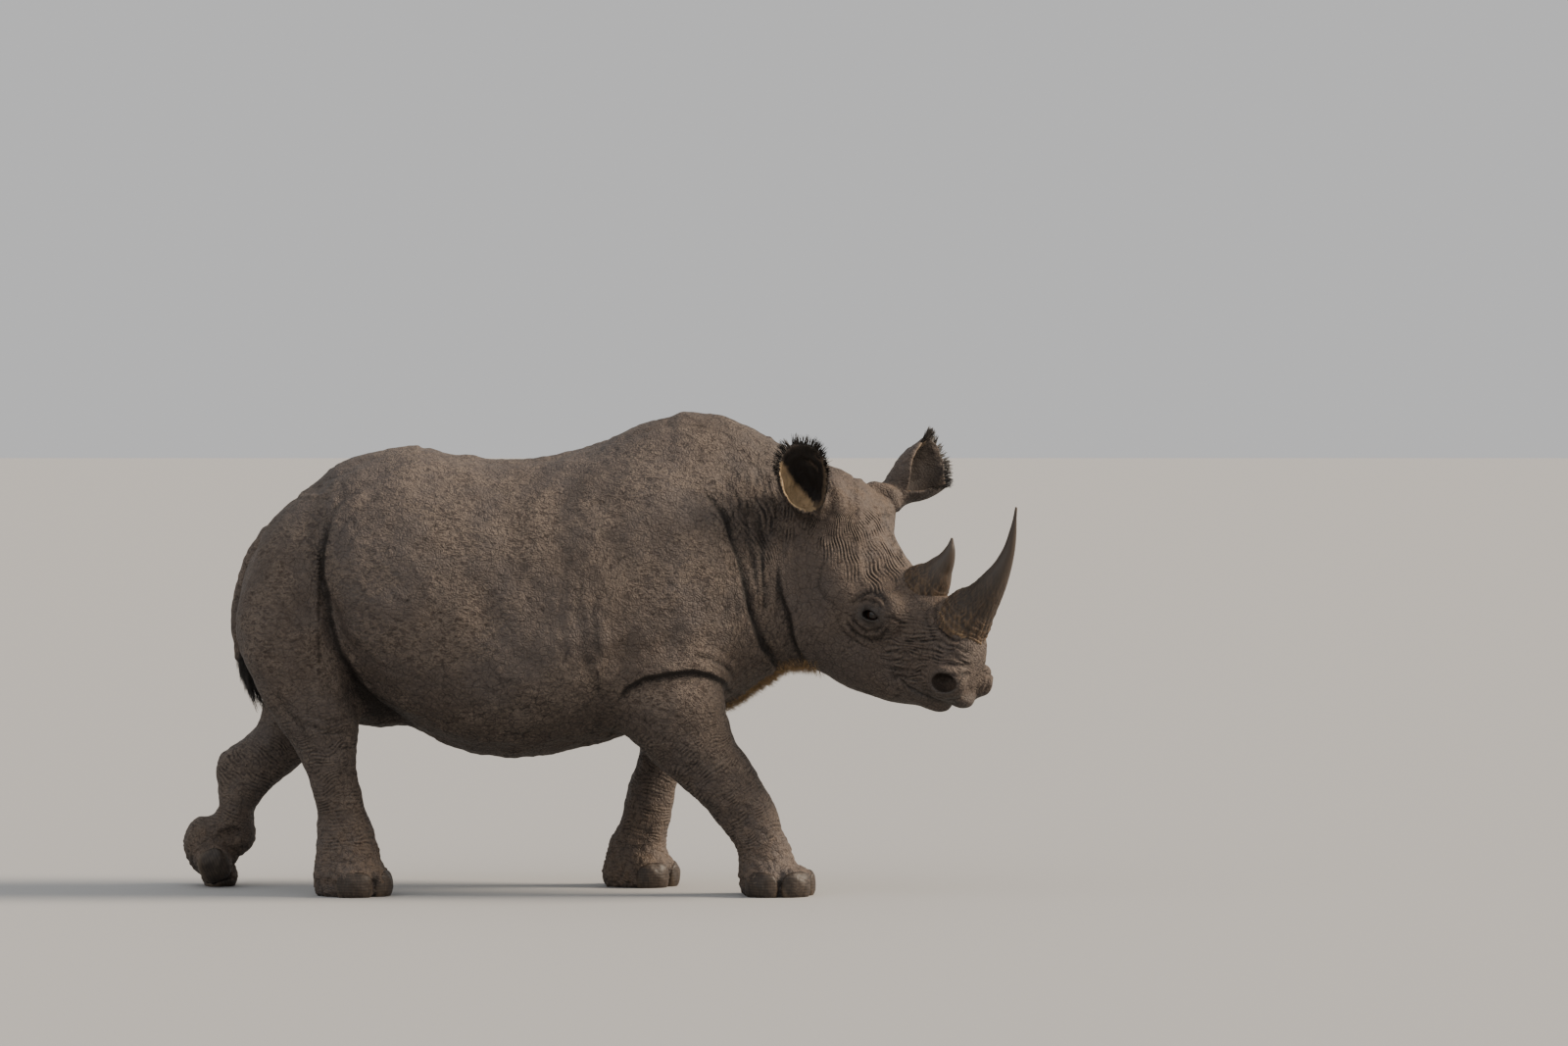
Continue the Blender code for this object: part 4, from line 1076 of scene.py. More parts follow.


# Dark bare skin and painted shade round the eye, painted shade in the nostril, and dark skin on the lips
def bareSkinAndShade(q):
    r, mark = oneSided(q), marks["eye"]
    along, across = slanted(r)
    fromEye = np.hypot(along, mark["squash"] * across)
    eye = np.clip(mark["full"] - fromEye / mark["reach"], 0, 1) * (r[:, 1] > mark["outside"])
    mark = marks["nostril"]
    fromNostril = np.linalg.norm((r - np.array(head["nostril"])) / mark["squash"], axis=1)
    nose = np.clip(mark["full"] - fromNostril / mark["reach"], 0, 1)
    mark = marks["lips"]
    fromMouth = np.abs(q[:, 2] + 0.10 + 0.35 * (0.33 - q[:, 0]))
    lips = np.clip(1 - fromMouth / mark["width"], 0, 1) * bump(q[:, 0], *mark["along"])
    return np.clip(np.maximum(eye, nose) + mark["strength"] * lips, 0, 1)


# How much painted shade each point gets in the hollow of an ear, and how much painted light on its rear
# inner wall and along its rim
def earLightAndShade(p, name):
    mark, ear = marks["ear"], ears[name]
    e = toLocal(p, earMatrix(ear))
    height = e[:, 2] / ears["length"]
    radius, angle, back, _ = smoothRows(ears["rows"], height)
    x, y = e[:, 0] - (back + radius), e[:, 1] / squeeze(ear, height, e[:, 1] * frontOf(ear) > 0)
    inside = (np.hypot(x, y) < radius) & (e[:, 0] < mark["front"])
    inside = inside & (e[:, 2] > mark["root"]) & (e[:, 2] < ears["length"])
    share = np.arctan2(y, -x) / np.radians(np.maximum(angle, 20))
    share *= -frontOf(ear)  # now 1 at the rim to the rear and about -1 at the rim in front
    rear = ramp(share, np.interp(height, *ears["litBandEdge"]), mark["litBand"])
    rim = np.maximum(ramp(np.abs(share), *mark["rim"]), ramp(height, *mark["rim"]))
    litBand = np.clip(np.maximum(rear, mark["rimLit"] * rim * (height < mark["rimTop"])), 0, 1)
    hollow = inside * np.clip(1 - rear - 0.5 * rim, 0, 1) * ears["depth"][name]
    return hollow, inside * litBand * ears["earLightStrength"][name]


def markSkin(mesh):
    p = pointsOf(mesh)
    up = np.empty(len(mesh.vertices) * 3)
    mesh.vertices.foreach_get("normal", up)
    up = up.reshape(-1, 3)[:, 2]
    q = toLocal(p, headMatrix())
    onHead = ramp(q[:, 0], *marks["onHead"][0]) * ramp(p[:, 0], *marks["onHead"][1])
    ridge, ridged = np.zeros(len(p)), np.zeros(len(p))
    for name, turns, show in wrinkles(p, q, onHead):
        strength = folds["lines"][name]["drawn"] * show
        ridge = np.where(strength > ridged, turns, ridge)
        ridged = np.maximum(ridged, strength)
    legDust = ramp(p[:, 2], *marks["dustAndCrownLight"]["legs"]) * (1 - onHead)
    # Painted light on the head where the skin faces up
    crownLit = marks["dustAndCrownLight"]["crownLight"] * onHead * np.clip(1.4 * up, 0, 1)
    # Painted shade: darker where the skin faces down, and over the nape and withers
    mark = marks["napeShade"]
    napeShade = mark["strength"] * bump(p[:, 0], *mark["along"]) * (1 - onHead) * ramp(p[:, 2], *mark["up"])
    # Painted shade in each ear's hollow, and pale: painted light on its rear inner wall and rim
    hollow, pale = np.maximum(*(earLightAndShade(p, name) for name in sides))
    given = {
        "ridge": ridge,
        "ridged": ridged,
        "recessShade": np.clip(np.maximum(relief(p)[1], toeCleftShade(p)), 0, 1),
        "onHead": onHead,
        "upright": uprightShare(p),
        "dustyAndCrownLit": np.maximum(legDust, crownLit),
        "shaded": np.maximum(np.clip(-up, 0, 1), napeShade),
        "bareAndShade": bareSkinAndShade(q) * onHead,
        "hollow": hollow,
        "pale": pale,
    }
    for name, values in given.items():
        giveValues(mesh, name, values)


# Horns are stacked rings of fibre, ragged and ledged at the foot and smooth at the tip
horns = {
    "horn_front": {
        "rows": [  # along the head, up, half size fore and aft, half size across
            (0.226, 0.095, 0.096, 0.086),
            (0.226, 0.130, 0.093, 0.083),
            (0.232, 0.180, 0.088, 0.074),
            (0.244, 0.240, 0.066, 0.058),
            (0.250, 0.318, 0.047, 0.043),
            (0.248, 0.376, 0.034, 0.031),
            (0.238, 0.431, 0.024, 0.022),
            (0.213, 0.498, 0.014, 0.014),
            (0.180, 0.5655, 0.0035, 0.0035),
        ],
        "ledges": ((0.060, 0.0045), (0.105, 0.0035), (0.155, 0.0028), (0.215, 0.0016)),  # share up, height
        "rings": 230, "sides": 150, "seed": 11,
    },
    "horn_rear": {
        "rows": [
            (0.033, 0.098, 0.088, 0.068),
            (0.037, 0.130, 0.088, 0.067),
            (0.043, 0.160, 0.079, 0.060),
            (0.048, 0.190, 0.064, 0.050),
            (0.050, 0.222, 0.048, 0.041),
            (0.052, 0.258, 0.033, 0.031),
            (0.045, 0.298, 0.018, 0.018),
            (0.030, 0.332, 0.0035, 0.0035),
        ],
        "ledges": ((0.13, 0.0028), (0.22, 0.002), (0.33, 0.0015)),
        "rings": 130, "sides": 130, "seed": 23,
    },
    "fibre": 0.0011,
    "ring": {"height": 0.0007, "length": 0.0135},
    "uneven": {"height": 0.010, "size": 0.09},
    "around": 0.08,  # size of the tube that the fibres' pattern is laid on
}


def makeHorn(name, look):
    horn = horns[name]
    rows = np.array(horn["rows"])
    run = np.concatenate([[0], np.cumsum(np.linalg.norm(np.diff(rows[:, :2], axis=0), axis=1))])
    share = np.linspace(0, 1, horn["rings"])
    x, z, fore, across = smoothRows(np.column_stack([run / run[-1], rows]), share)
    dx, dz = np.gradient(x), np.gradient(z)
    size = np.hypot(dx, dz)
    dx, dz = dx / size, dz / size
    turn = np.linspace(0, 2 * np.pi, horn["sides"], endpoint=False)
    v, a = np.meshgrid(share, turn, indexing="ij")
    up, seed = v.ravel(), horn["seed"]
    wide = horns["around"]
    tube = np.stack([np.cos(a).ravel() * wide, np.sin(a).ravel() * wide, up * run[-1]], 1)
    low = np.clip(1 - up / 0.55, 0, 1)
    fibres = waves(tube * [1, 1, 0.10], 0.011, seed) + 0.7 * waves(tube * [1, 1, 0.16], 0.0052, seed + 1)
    lift = horns["fibre"] * fibres * (0.12 + low)
    uneven = horns["uneven"]["height"] * waves(tube, horns["uneven"]["size"], seed + 2)
    for at, height in horn["ledges"]:
        over = (up + uneven - at) / 0.014
        lift += height * (np.clip(1 - over, 0, 1) * np.exp(np.minimum(over, 0) / 4.0) - 0.25)
    turns = up * run[-1] / horns["ring"]["length"] + 1.4 * uneven / horns["uneven"]["height"]
    lift += horns["ring"]["height"] * low * np.sin(2 * np.pi * turns)
    lift = lift.reshape(v.shape) * ramp(v, 1, -0.08)
    fore, across = fore[:, None] + lift, across[:, None] + lift
    local = np.stack([
        x[:, None] + fore * np.cos(a) * dz[:, None],
        across * np.sin(a),
        z[:, None] - fore * np.cos(a) * dx[:, None],
    ], -1).reshape(-1, 3)
    m, n = horn["rings"], horn["sides"]
    faces = [
        (i * n + j, i * n + (j + 1) % n, (i + 1) * n + (j + 1) % n, (i + 1) * n + j)
        for i in range(m - 1) for j in range(n)
    ]
    faces += [tuple(range(n - 1, -1, -1)), tuple(range((m - 1) * n, m * n))]
    mesh = bpy.data.meshes.new(name)
    mesh.from_pydata(toWorld(local, headMatrix()).tolist(), [], faces)
    outward(mesh)
    giveValues(mesh, "height", up)
    giveValues(mesh, "raised", np.clip(lift.ravel() / 0.003, -1, 1))
    finished(newObject(name + "_fibrous", mesh), "horn", look, name)


def outward(mesh):
    shape = bmesh.new()
    shape.from_mesh(mesh)
    bmesh.ops.recalc_face_normals(shape, faces=shape.faces)
    shape.to_mesh(mesh)
    shape.free()


eyes = {"pupil": 0.0085, "iris": 0.0165, "gaze": (0.10, 1.0, -0.06), "fineness": 5}


def makeEye(name, side, look):
    shape = bmesh.new()
    bmesh.ops.create_icosphere(shape, subdivisions=eyes["fineness"], radius=head["eyeRadius"])
    mesh = bpy.data.meshes.new("eyeball_" + name)
    shape.to_mesh(mesh)
    shape.free()
    p = pointsOf(mesh)
    gaze = Vector((eyes["gaze"][0], side * eyes["gaze"][1], eyes["gaze"][2])).normalized()
    angle = np.arccos(np.clip(p @ np.array(gaze) / head["eyeRadius"], -1, 1))
    giveValues(mesh, "fromPupil", angle * head["eyeRadius"])
    place = Matrix.Translation(Vector(head["eye"]) * Vector((1, side, 1)))
    mesh.transform(headMatrix() @ place)
    finished(newObject("eyeball_" + name, mesh), "eye", look, "eye_" + name)


# Nails are shields on the toes, with rings of growth
nails = {
    "thickness": 0.0055, "grain": 0.0026, "quickGrain": 0.006, "edge": 0.007,
    "back": 0.008, "halfWide": 0.052, "flare": 0.5, "halfHigh": 0.052, "corner": 2.6,
    "box": ((-0.01, 0.075), (-0.075, 0.075), (-0.075, 0.075)),
    "rings": {"height": 0.00018, "length": 0.012, "wander": 0.004},
    "unevenness": 0.0004,
}


# Share of the way from the middle of a nail to its outline
def shieldShare(p):
    wide = np.abs(p[:, 1]) / (nails["halfWide"] + nails["flare"] * np.maximum(p[:, 0], 0))
    high = np.abs(p[:, 2] + 0.008 - 0.10 * p[:, 0]) / nails["halfHigh"]
    return (wide ** nails["corner"] + high ** nails["corner"]) ** (1 / nails["corner"])


def makeNail(legName, toe, look):
    leg = legs[legName]
    turn = Matrix.Rotation(math.radians(leg["side"] * feet["toes"][toe]), 4, "Z")
    toeMatrix = footMatrix(leg) @ turn @ Matrix.Translation((feet["toeOut"], 0, feet["toeUp"]))
    radii = np.array(feet["toeRadii"]) + nails["thickness"]

    def field(p):
        shield = (shieldShare(p) - 1) * nails["halfWide"]
        d = -joined(-toeField(p, radii), -shield, nails["edge"])
        d = np.maximum(d, nails["back"] - p[:, 0])
        return np.maximum(d, stance["ground"] - toWorld(p, toeMatrix)[:, 2])

    grain = nails["grain"]
    p, quads = surfaceOf(field, [np.arange(low, high, grain) for low, high in nails["box"]])
    out = p / np.linalg.norm(p, axis=1)[:, None]
    made = nails["rings"]
    height = p[:, 2] + made["wander"] * waves(p, 0.05, 31)
    growth = made["height"] * np.sin(2 * np.pi * height / made["length"])
    growth += nails["unevenness"] * waves(p, 0.03, 32)
    above = np.clip((toWorld(p, toeMatrix)[:, 2] - stance["ground"] - 0.004) / 0.004, 0, 1)
    p = p + out * (growth * above * np.clip(p[:, 0] / 0.02, 0, 1))[:, None]
    name = f"toenail_{legName}_{toe}"
    mesh = plainMesh(name, toWorld(p, toeMatrix), quads)
    giveValues(mesh, "up", p[:, 2])
    giveValues(mesh, "rim", shieldShare(p))
    finished(newObject(name, mesh), "nail", look, f"nail_{legName}_{toe}")


# A wire is one value in a node tree, and sums of wires add Math nodes
class Wire:
    def __init__(self, tree, socket=None):
        self.tree, self.socket = tree, socket

    def make(self, kind, settings=None, values=None, out=0):
        node = self.tree.nodes.new(kind)
        for name, value in (settings or {}).items():
            setattr(node, name, value)
        for key, value in (values or {}).items():
            if isinstance(value, Wire):
                self.tree.links.new(value.socket, node.inputs[key])
            else:
                node.inputs[key].default_value = value
        return Wire(self.tree, node.outputs[out])

    def math(self, operation, *values):
        return self.make("ShaderNodeMath", {"operation": operation}, dict(enumerate(values)))

    def __add__(self, other):
        return self.math("ADD", self, other)

    def __sub__(self, other):
        return self.math("SUBTRACT", self, other)

    def __rsub__(self, other):
        return self.math("SUBTRACT", other, self)

    def __mul__(self, other):
        return self.math("MULTIPLY", self, other)

    def __truediv__(self, other):
        return self.math("DIVIDE", self, other)

    __radd__, __rmul__ = __add__, __mul__

    def size(self):
        return self.math("ABSOLUTE", self)

    def sine(self):
        return self.math("SINE", self)

    def atLeast(self, low):
        return self.math("MAXIMUM", self, low)

    def between(self, low, high):
        values = {0: self, 1: low, 2: high}
        return self.make("ShaderNodeMapRange", {"interpolation_type": "SMOOTHSTEP"}, values)

    def mixed(self, a, b):
        return self.make("ShaderNodeMix", {"data_type": "RGBA"}, {0: self, 6: a, 7: b}, out=2)

    def scaled(self, by):
        return self.make("ShaderNodeVectorMath", {"operation": "MULTIPLY"}, {0: self, 1: by})

    def moved(self, by):
        return self.make("ShaderNodeVectorMath", {"operation": "ADD"}, {0: self, 1: by})

    def read(self, name):
        return self.make("ShaderNodeAttribute", {"attribute_name": name}, out="Fac")

    def noise(self, scale, detail=3.0, rough=0.55, out=0):
        values = {"Vector": self, "Scale": scale, "Detail": detail, "Roughness": rough}
        return self.make("ShaderNodeTexNoise", values=values, out=out)

    def cells(self, scale):
        values = {"Vector": self, "Scale": scale}
        return self.make("ShaderNodeTexVoronoi", {"feature": "DISTANCE_TO_EDGE"}, values)

    def bumped(self):
        return self.make("ShaderNodeBump", values={"Strength": 1.0, "Distance": 1.0, "Height": self})


# A new material, its shader, and wires for its node tree and for the place of each point
def newLook(name):
    look = bpy.data.materials.new(name)
    look.use_nodes = True
    w = Wire(look.node_tree)
    return look, look.node_tree.nodes["Principled BSDF"], w, w.make("ShaderNodeTexCoord", out="Object")


# Wires go into the shader's sockets, and plain values are set on them
def feed(shader, values):
    for name, value in values.items():
        if isinstance(value, Wire):
            value.tree.links.new(value.socket, shader.inputs[name])
        else:
            shader.inputs[name].default_value = value


skinColours = {
    "shadeDark": (0.0105, 0.0072, 0.0056, 1),
    "brown": (0.0500, 0.0350, 0.0262, 1),
    "grey": (0.0620, 0.0490, 0.0435, 1),
    "tanAndHighlight": (0.145, 0.112, 0.088, 1),
    "dustAndCrownLight": (0.120, 0.080, 0.052, 1),
    "bareAndShade": (0.0110, 0.0088, 0.0080, 1),
    "earLight": (0.36, 0.255, 0.145, 1),
    "hollow": (0.0075, 0.0052, 0.0042, 1),
}


def skinLook():
    look, shader, w, place = newLook("rhinoceros_skin")
    recessShade, ridge, ridged = w.read("recessShade"), w.read("ridge"), w.read("ridged")
    onHead, upright, dustyAndCrownLit = w.read("onHead"), w.read("upright"), w.read("dustyAndCrownLit")
    bareAndShade, hollow, pale, shaded = w.read("bareAndShade"), w.read("hollow"), w.read("pale"), w.read("shaded")
    broad = place.noise(2.4, 4.0, 0.6)
    patch = place.noise(6.0, 3.0, 0.6).between(0.42, 0.60)
    mottle = place.noise(24.0, 5.0, 0.7)
    grain = place.noise(150.0, 3.0, 0.6)
    swirled = place.moved(place.noise(30.0, 2.0, 0.5, "Color").scaled((0.018, 0.018, 0.018)))
    # crinkles are the crests of a fine noise, drawn out level on the body and upright on neck and ribs
    flat = swirled.scaled((0.65, 0.8, 1.25)).noise(46.0, 3.0, 0.62)
    tall = swirled.scaled((1.4, 1.2, 0.50)).noise(46.0, 3.0, 0.62)
    worn = flat + upright * (tall - flat)
    crest = (1 - (worn - 0.5).size() * 9.0).atLeast(0.0)
    pit = (0.5 - worn).between(0.05, 0.20)
    pebbles = swirled.cells(78.0).between(0.0, 0.28)
    cracks = 1 - swirled.cells(31.0).between(0.0, 0.07)
    # rings down the legs, fans on neck and brow and lines over the muzzle
    turns = ridge + (place.noise(12.0, 2.0) - 0.5) * 0.5 + (mottle - 0.5) * 0.12
    wave = (turns * (2 * math.pi) - math.pi / 2).sine() * 0.5 + 0.5
    # groove is painted shade in the wrinkles' valleys; lines below is their bump and a painted highlight on
    # their crests
    groove = (1 - wave) * (1 - wave)
    broken = place.moved((0.4, 0.2, 0.9)).noise(20.0, 2.0).between(0.36, 0.62) * 0.88 + 0.12
    lines = wave * ridged * broken * (0.35 + 1.2 * mottle)
    calm = (1 - hollow) * (1 - 0.75 * pale) * (1 - 0.6 * bareAndShade)
    rough = (0.30 + 0.70 * patch) * (1 - 0.55 * onHead) * (1 - 0.5 * ridged)
    height = crest * rough * 0.0022 - pit * 0.0006 + pebbles * 0.0012 - cracks * 0.0008
    height = height + lines * 0.0030 + mottle * 0.0018 + grain * 0.0005
    colour = broad.between(0.36, 0.64).mixed(skinColours["brown"], skinColours["grey"])
    # Painted highlight in tan on the crests of crinkles, wrinkles and pebbles, mixed with the skin's own
    # lighter patches and mottling
    light = crest * rough * 0.74 + lines * 0.36 + patch * 0.05
    light = light + mottle.between(0.5, 0.75) * 0.12 + pebbles * 0.08
    colour = light.mixed(colour, skinColours["tanAndHighlight"])
    # Dust on the lower legs, and painted light on the head where the skin faces up
    colour = (dustyAndCrownLit * mottle.between(0.35, 0.65) * 0.55).mixed(colour, skinColours["dustAndCrownLight"])
    # Painted shade: in pits, cracks and between pebbles, in the grooves of wrinkles, in folds, recesses and
    # toe clefts, under the body and over the nape
    shadeShare = pit * 0.13 + cracks * 0.30 + (1 - pebbles) * 0.22
    shadeShare = shadeShare + ridged * groove * broken * 0.52 + recessShade * 0.85 + shaded * 0.52
    colour = shadeShare.between(0.0, 1.15).mixed(colour, skinColours["shadeDark"])
    # Dark bare skin on the lips and round the eye, with painted shade on the lids round the eye and in the
    # nostril
    colour = (bareAndShade * 0.85).mixed(colour, skinColours["bareAndShade"])
    # Painted shade in the ears' hollows, and painted light in straw on each ear's rear inner wall and rim
    colour = hollow.mixed(colour, skinColours["hollow"])
    colour = (pale * mottle.between(0.15, 0.55)).mixed(colour, skinColours["earLight"])
    gloss = 0.70 + pit * 0.15 + patch * 0.1 - bareAndShade * 0.30
    normal = (height * calm).bumped()
    feed(shader, {"Base Color": colour, "Roughness": gloss, "Normal": normal, "Specular IOR Level": 0.38})
    return look


hornColours = {
    "root": (0.025, 0.0152, 0.0082, 1),
    "fibre": (0.085, 0.051, 0.026, 1),
    "pale": (0.270, 0.175, 0.088, 1),
    "tip": (0.036, 0.0250, 0.0170, 1),
    "shadeDark": (0.010, 0.0068, 0.0048, 1),
}


def hornLook():
    look, shader, w, place = newLook("rhinoceros_horn")
    up, raised = w.read("height"), w.read("raised")
    strands = place.scaled((1, 1, 0.12)).noise(130.0, 4.0, 0.62)
    blotch = place.noise(20.0, 4.0, 0.6)
    smooth = up.between(0.28, 0.66)
    colour = strands.between(0.34, 0.66).mixed(hornColours["root"], hornColours["fibre"])
    collar = (1 - up.between(0.08, 0.18)) * 0.55
    # Lighter colour in blotches on the raised ledges near the foot
    paleLedges = raised.between(0.45, 1.0) * blotch.between(0.40, 0.62) * collar
    colour = paleLedges.mixed(colour, hornColours["pale"])
    # Painted shade below each ledge
    colour = (raised.between(-0.1, -0.9) * 0.6).mixed(colour, hornColours["shadeDark"])
    colour = (smooth * (0.45 + 0.6 * blotch)).mixed(colour, hornColours["tip"])
    height = (strands * 0.0016 + blotch * 0.0010) * (1 - 0.85 * smooth)
    feed(shader, {"Base Color": colour, "Roughness": 0.70 - smooth * 0.26, "Normal": height.bumped()})
    return look


nailColours = {
    "base": (0.020, 0.0145, 0.0112, 1),
    "pale": (0.070, 0.051, 0.037, 1),
    "dirt": (0.022, 0.015, 0.011, 1),
    "edge": (0.150, 0.108, 0.070, 1),
}


def nailLook():
    look, shader, w, place = newLook("rhinoceros_nail")
    lines = (w.read("up") + (place.noise(30.0, 2.0) - 0.5) * 0.006) * (2 * math.pi / 0.0095)
    rings = lines.sine() * 0.5 + 0.5
    scratch = place.scaled((1, 1, 0.2)).noise(160.0, 4.0, 0.65)
    blotch = place.noise(28.0, 4.0, 0.6)
    light = (rings * 0.10 + scratch * 0.5 + blotch * 0.4).between(0.35, 0.75)
    colour = light.mixed(nailColours["base"], nailColours["pale"])
    colour = blotch.between(0.50, 0.72).mixed(colour, nailColours["dirt"])
    worn = w.read("rim").between(0.70, 1.0) * w.read("up").between(0.01, -0.03) * blotch * 0.8
    colour = worn.mixed(colour, nailColours["edge"])
    normal = (scratch * 0.0006 + blotch * 0.0008).bumped()
    rough = 0.42 + blotch * 0.26
    feed(shader, {"Base Color": colour, "Roughness": rough, "Normal": normal, "Specular IOR Level": 0.32})
    return look


eyeColours = {
    "pupil": (0.002, 0.0015, 0.0015, 1),
    "iris": (0.016, 0.0075, 0.004, 1),
    "rim": (0.009, 0.005, 0.004, 1),
    "white": (0.016, 0.011, 0.009, 1),
}


def eyeLook():
    look, shader, w, place = newLook("rhinoceros_eye")
    out, pupil, iris = w.read("fromPupil"), eyes["pupil"], eyes["iris"]
    colour = (out + place.noise(320.0, 3.0) * 0.002).between(pupil, pupil + 0.0016)
    colour = colour.mixed(eyeColours["pupil"], eyeColours["iris"])
    colour = out.between(iris - 0.005, iris).mixed(colour, eyeColours["rim"])
    colour = out.between(iris, iris + 0.003).mixed(colour, eyeColours["white"])
    wet = {"Roughness": 0.22, "Specular IOR Level": 0.25, "Coat Weight": 0.35, "Coat Roughness": 0.04}
    feed(shader, {"Base Color": colour, **wet})
    return look


hairColours = {  # dark and light
    "dark_hair": ((0.006, 0.005, 0.0045, 1), (0.026, 0.019, 0.015, 1)),
    "golden_hair": ((0.110, 0.068, 0.030, 1), (0.420, 0.270, 0.120, 1)),
}


def hairLook(name):
    look, shader, _, place = newLook(name)
    colour = place.noise(90.0, 3.0).between(0.35, 0.68).mixed(*hairColours[name])
    feed(shader, {"Base Color": colour, "Roughness": 0.5})
    return look


# Hair is one curved strand on each root, all made mesh by one node tree
hair = {
    "joints": 5, "sides": 3,
    "fringe": {
        "strands": 560, "long": 0.030, "thick": 0.060, "bend": 0.20, "from": 0.34, "rearFrom": 0.72,
        "seeds": {"right": 41, "left": 42},
    },
    "tuft": {"strands": 1700, "thick": 0.0075, "bend": 0.05, "seed": 51},
    "lashes": {
        "strands": 46, "long": 0.019, "thick": 0.030, "bend": 0.30, "seeds": {"right": 61, "left": 62},
    },
    "bristles": {
        "strands": 3400, "long": 0.026, "thick": 0.026, "bend": 0.18, "from": 0.36, "to": 0.74, "seed": 71,
    },
    "patch": 0.003,  # width of a strand on the unwrap
    "uneven": 0.22,
    "seed": 7,
}


def hairTree():
    tree = bpy.data.node_groups.new("strands_on_roots", "GeometryNodeTree")
    tree.interface.new_socket("Geometry", in_out="INPUT", socket_type="NodeSocketGeometry")
    for name in ("Thickness", "Bend", "Uneven"):
        tree.interface.new_socket(name, in_out="INPUT", socket_type="NodeSocketFloat")
    for name in ("Joints", "Sides", "Seed"):
        tree.interface.new_socket(name, in_out="INPUT", socket_type="NodeSocketInt")
    tree.interface.new_socket("Look", in_out="INPUT", socket_type="NodeSocketMaterial")
    tree.interface.new_socket("Geometry", in_out="OUTPUT", socket_type="NodeSocketGeometry")
    given = tree.nodes.new("NodeGroupInput")
    w = Wire(tree)
    take = {socket.name: Wire(tree, socket) for socket in given.outputs if socket.name}
    line = w.make("GeometryNodeCurvePrimitiveLine", values={"Start": (0, 0, 0), "End": (0, 0, 1)})
    line = w.make("GeometryNodeResampleCurve", values={"Curve": line, "Count": take["Joints"]})
    along = w.make("GeometryNodeSplineParameter", out="Factor")
    bent = {"X": along * along * take["Bend"], "Z": along * along * take["Bend"] * -0.3}
    sideways = w.make("ShaderNodeCombineXYZ", values=bent)
    line = w.make("GeometryNodeSetPosition", values={"Geometry": line, "Offset": sideways})
    ring = w.make("GeometryNodeCurvePrimitiveCircle", values={"Resolution": take["Sides"], "Radius": 1.0})
    thinning = take["Thickness"] * (1 - along * 0.85)
    values = {"Curve": line, "Profile Curve": ring, "Scale": thinning, "Fill Caps": True}
    strand = w.make("GeometryNodeCurveToMesh", values=values)

    def named(name, kind):
        return w.make("GeometryNodeInputNamedAttribute", {"data_type": kind}, {"Name": name})

    align = "FunctionNodeAlignRotationToVector"
    turn = w.make(align, {"axis": "Z"}, {"Vector": named("way", "FLOAT_VECTOR")})
    values = {"Rotation": turn, "Vector": named("droop", "FLOAT_VECTOR")}
    turn = w.make(align, {"axis": "X", "pivot_axis": "Z"}, values)
    values = {2: 1 - take["Uneven"], 3: 1 + take["Uneven"], "Seed": take["Seed"]}
    size = named("long", "FLOAT") * w.make("FunctionNodeRandomValue", {"data_type": "FLOAT"}, values, out=1)
    values = {"Points": take["Geometry"], "Instance": strand, "Rotation": turn, "Scale": size}
    placed = w.make("GeometryNodeInstanceOnPoints", values=values)
    whole = w.make("GeometryNodeRealizeInstances", values={"Geometry": placed})
    whole = w.make("GeometryNodeSetMaterial", values={"Geometry": whole, "Material": take["Look"]})
    leave = tree.nodes.new("NodeGroupOutput")
    tree.links.new(whole.socket, leave.inputs[0])
    return tree


# Strands from their roots, ways to grow, ways to bend, lengths and places on the unwrap
def makeHair(name, tree, settings, roots, ways, droops, longs, places, look, *nodes):
    mesh = plainMesh(name, roots, [])
    giveValues(mesh, "long", longs)
    for key, vectors in (("way", ways), ("droop", droops)):
        given = mesh.attributes.new(key, "FLOAT_VECTOR", "POINT").data
        given.foreach_set("vector", np.asarray(vectors, np.float32).ravel())
    made = newObject(name, mesh)
    grow = made.modifiers.new("strands", "NODES")
    grow.node_group = tree
    inputs = {
        "Thickness": settings["thick"], "Bend": settings["bend"], "Uneven": hair["uneven"],
        "Joints": hair["joints"], "Sides": hair["sides"], "Seed": hair["seed"], "Look": look,
    }
    for item in tree.interface.items_tree:
        if item.in_out == "INPUT" and item.name in inputs:
            grow[item.identifier] = inputs[item.name]
    applied(made)
    for key in ("way", "droop", "long"):
        if key in made.data.attributes:
            made.data.attributes.remove(made.data.attributes[key])
    # each strand is a small patch of the unwrap, at its root's place
    mesh = made.data
    corners = np.empty(len(mesh.loops), int)
    mesh.loops.foreach_get("vertex_index", corners)
    each = len(mesh.vertices) // len(roots)
    strand, part = corners // each, corners % each
    inner = np.stack([(part // hair["sides"]) / hair["joints"], (part % hair["sides"]) / hair["sides"]], 1)
    uv = np.asarray(places)[strand] + hair["patch"] * inner
    for old in list(mesh.uv_layers):
        mesh.uv_layers.remove(old)
    mesh.uv_layers.new(name="OFBake").data.foreach_set("uv", uv.astype(np.float32).ravel())
    finished(made, "hair", look, *nodes)
    print(f"{name}: {len(roots)} strands, {len(mesh.polygons)} faces")


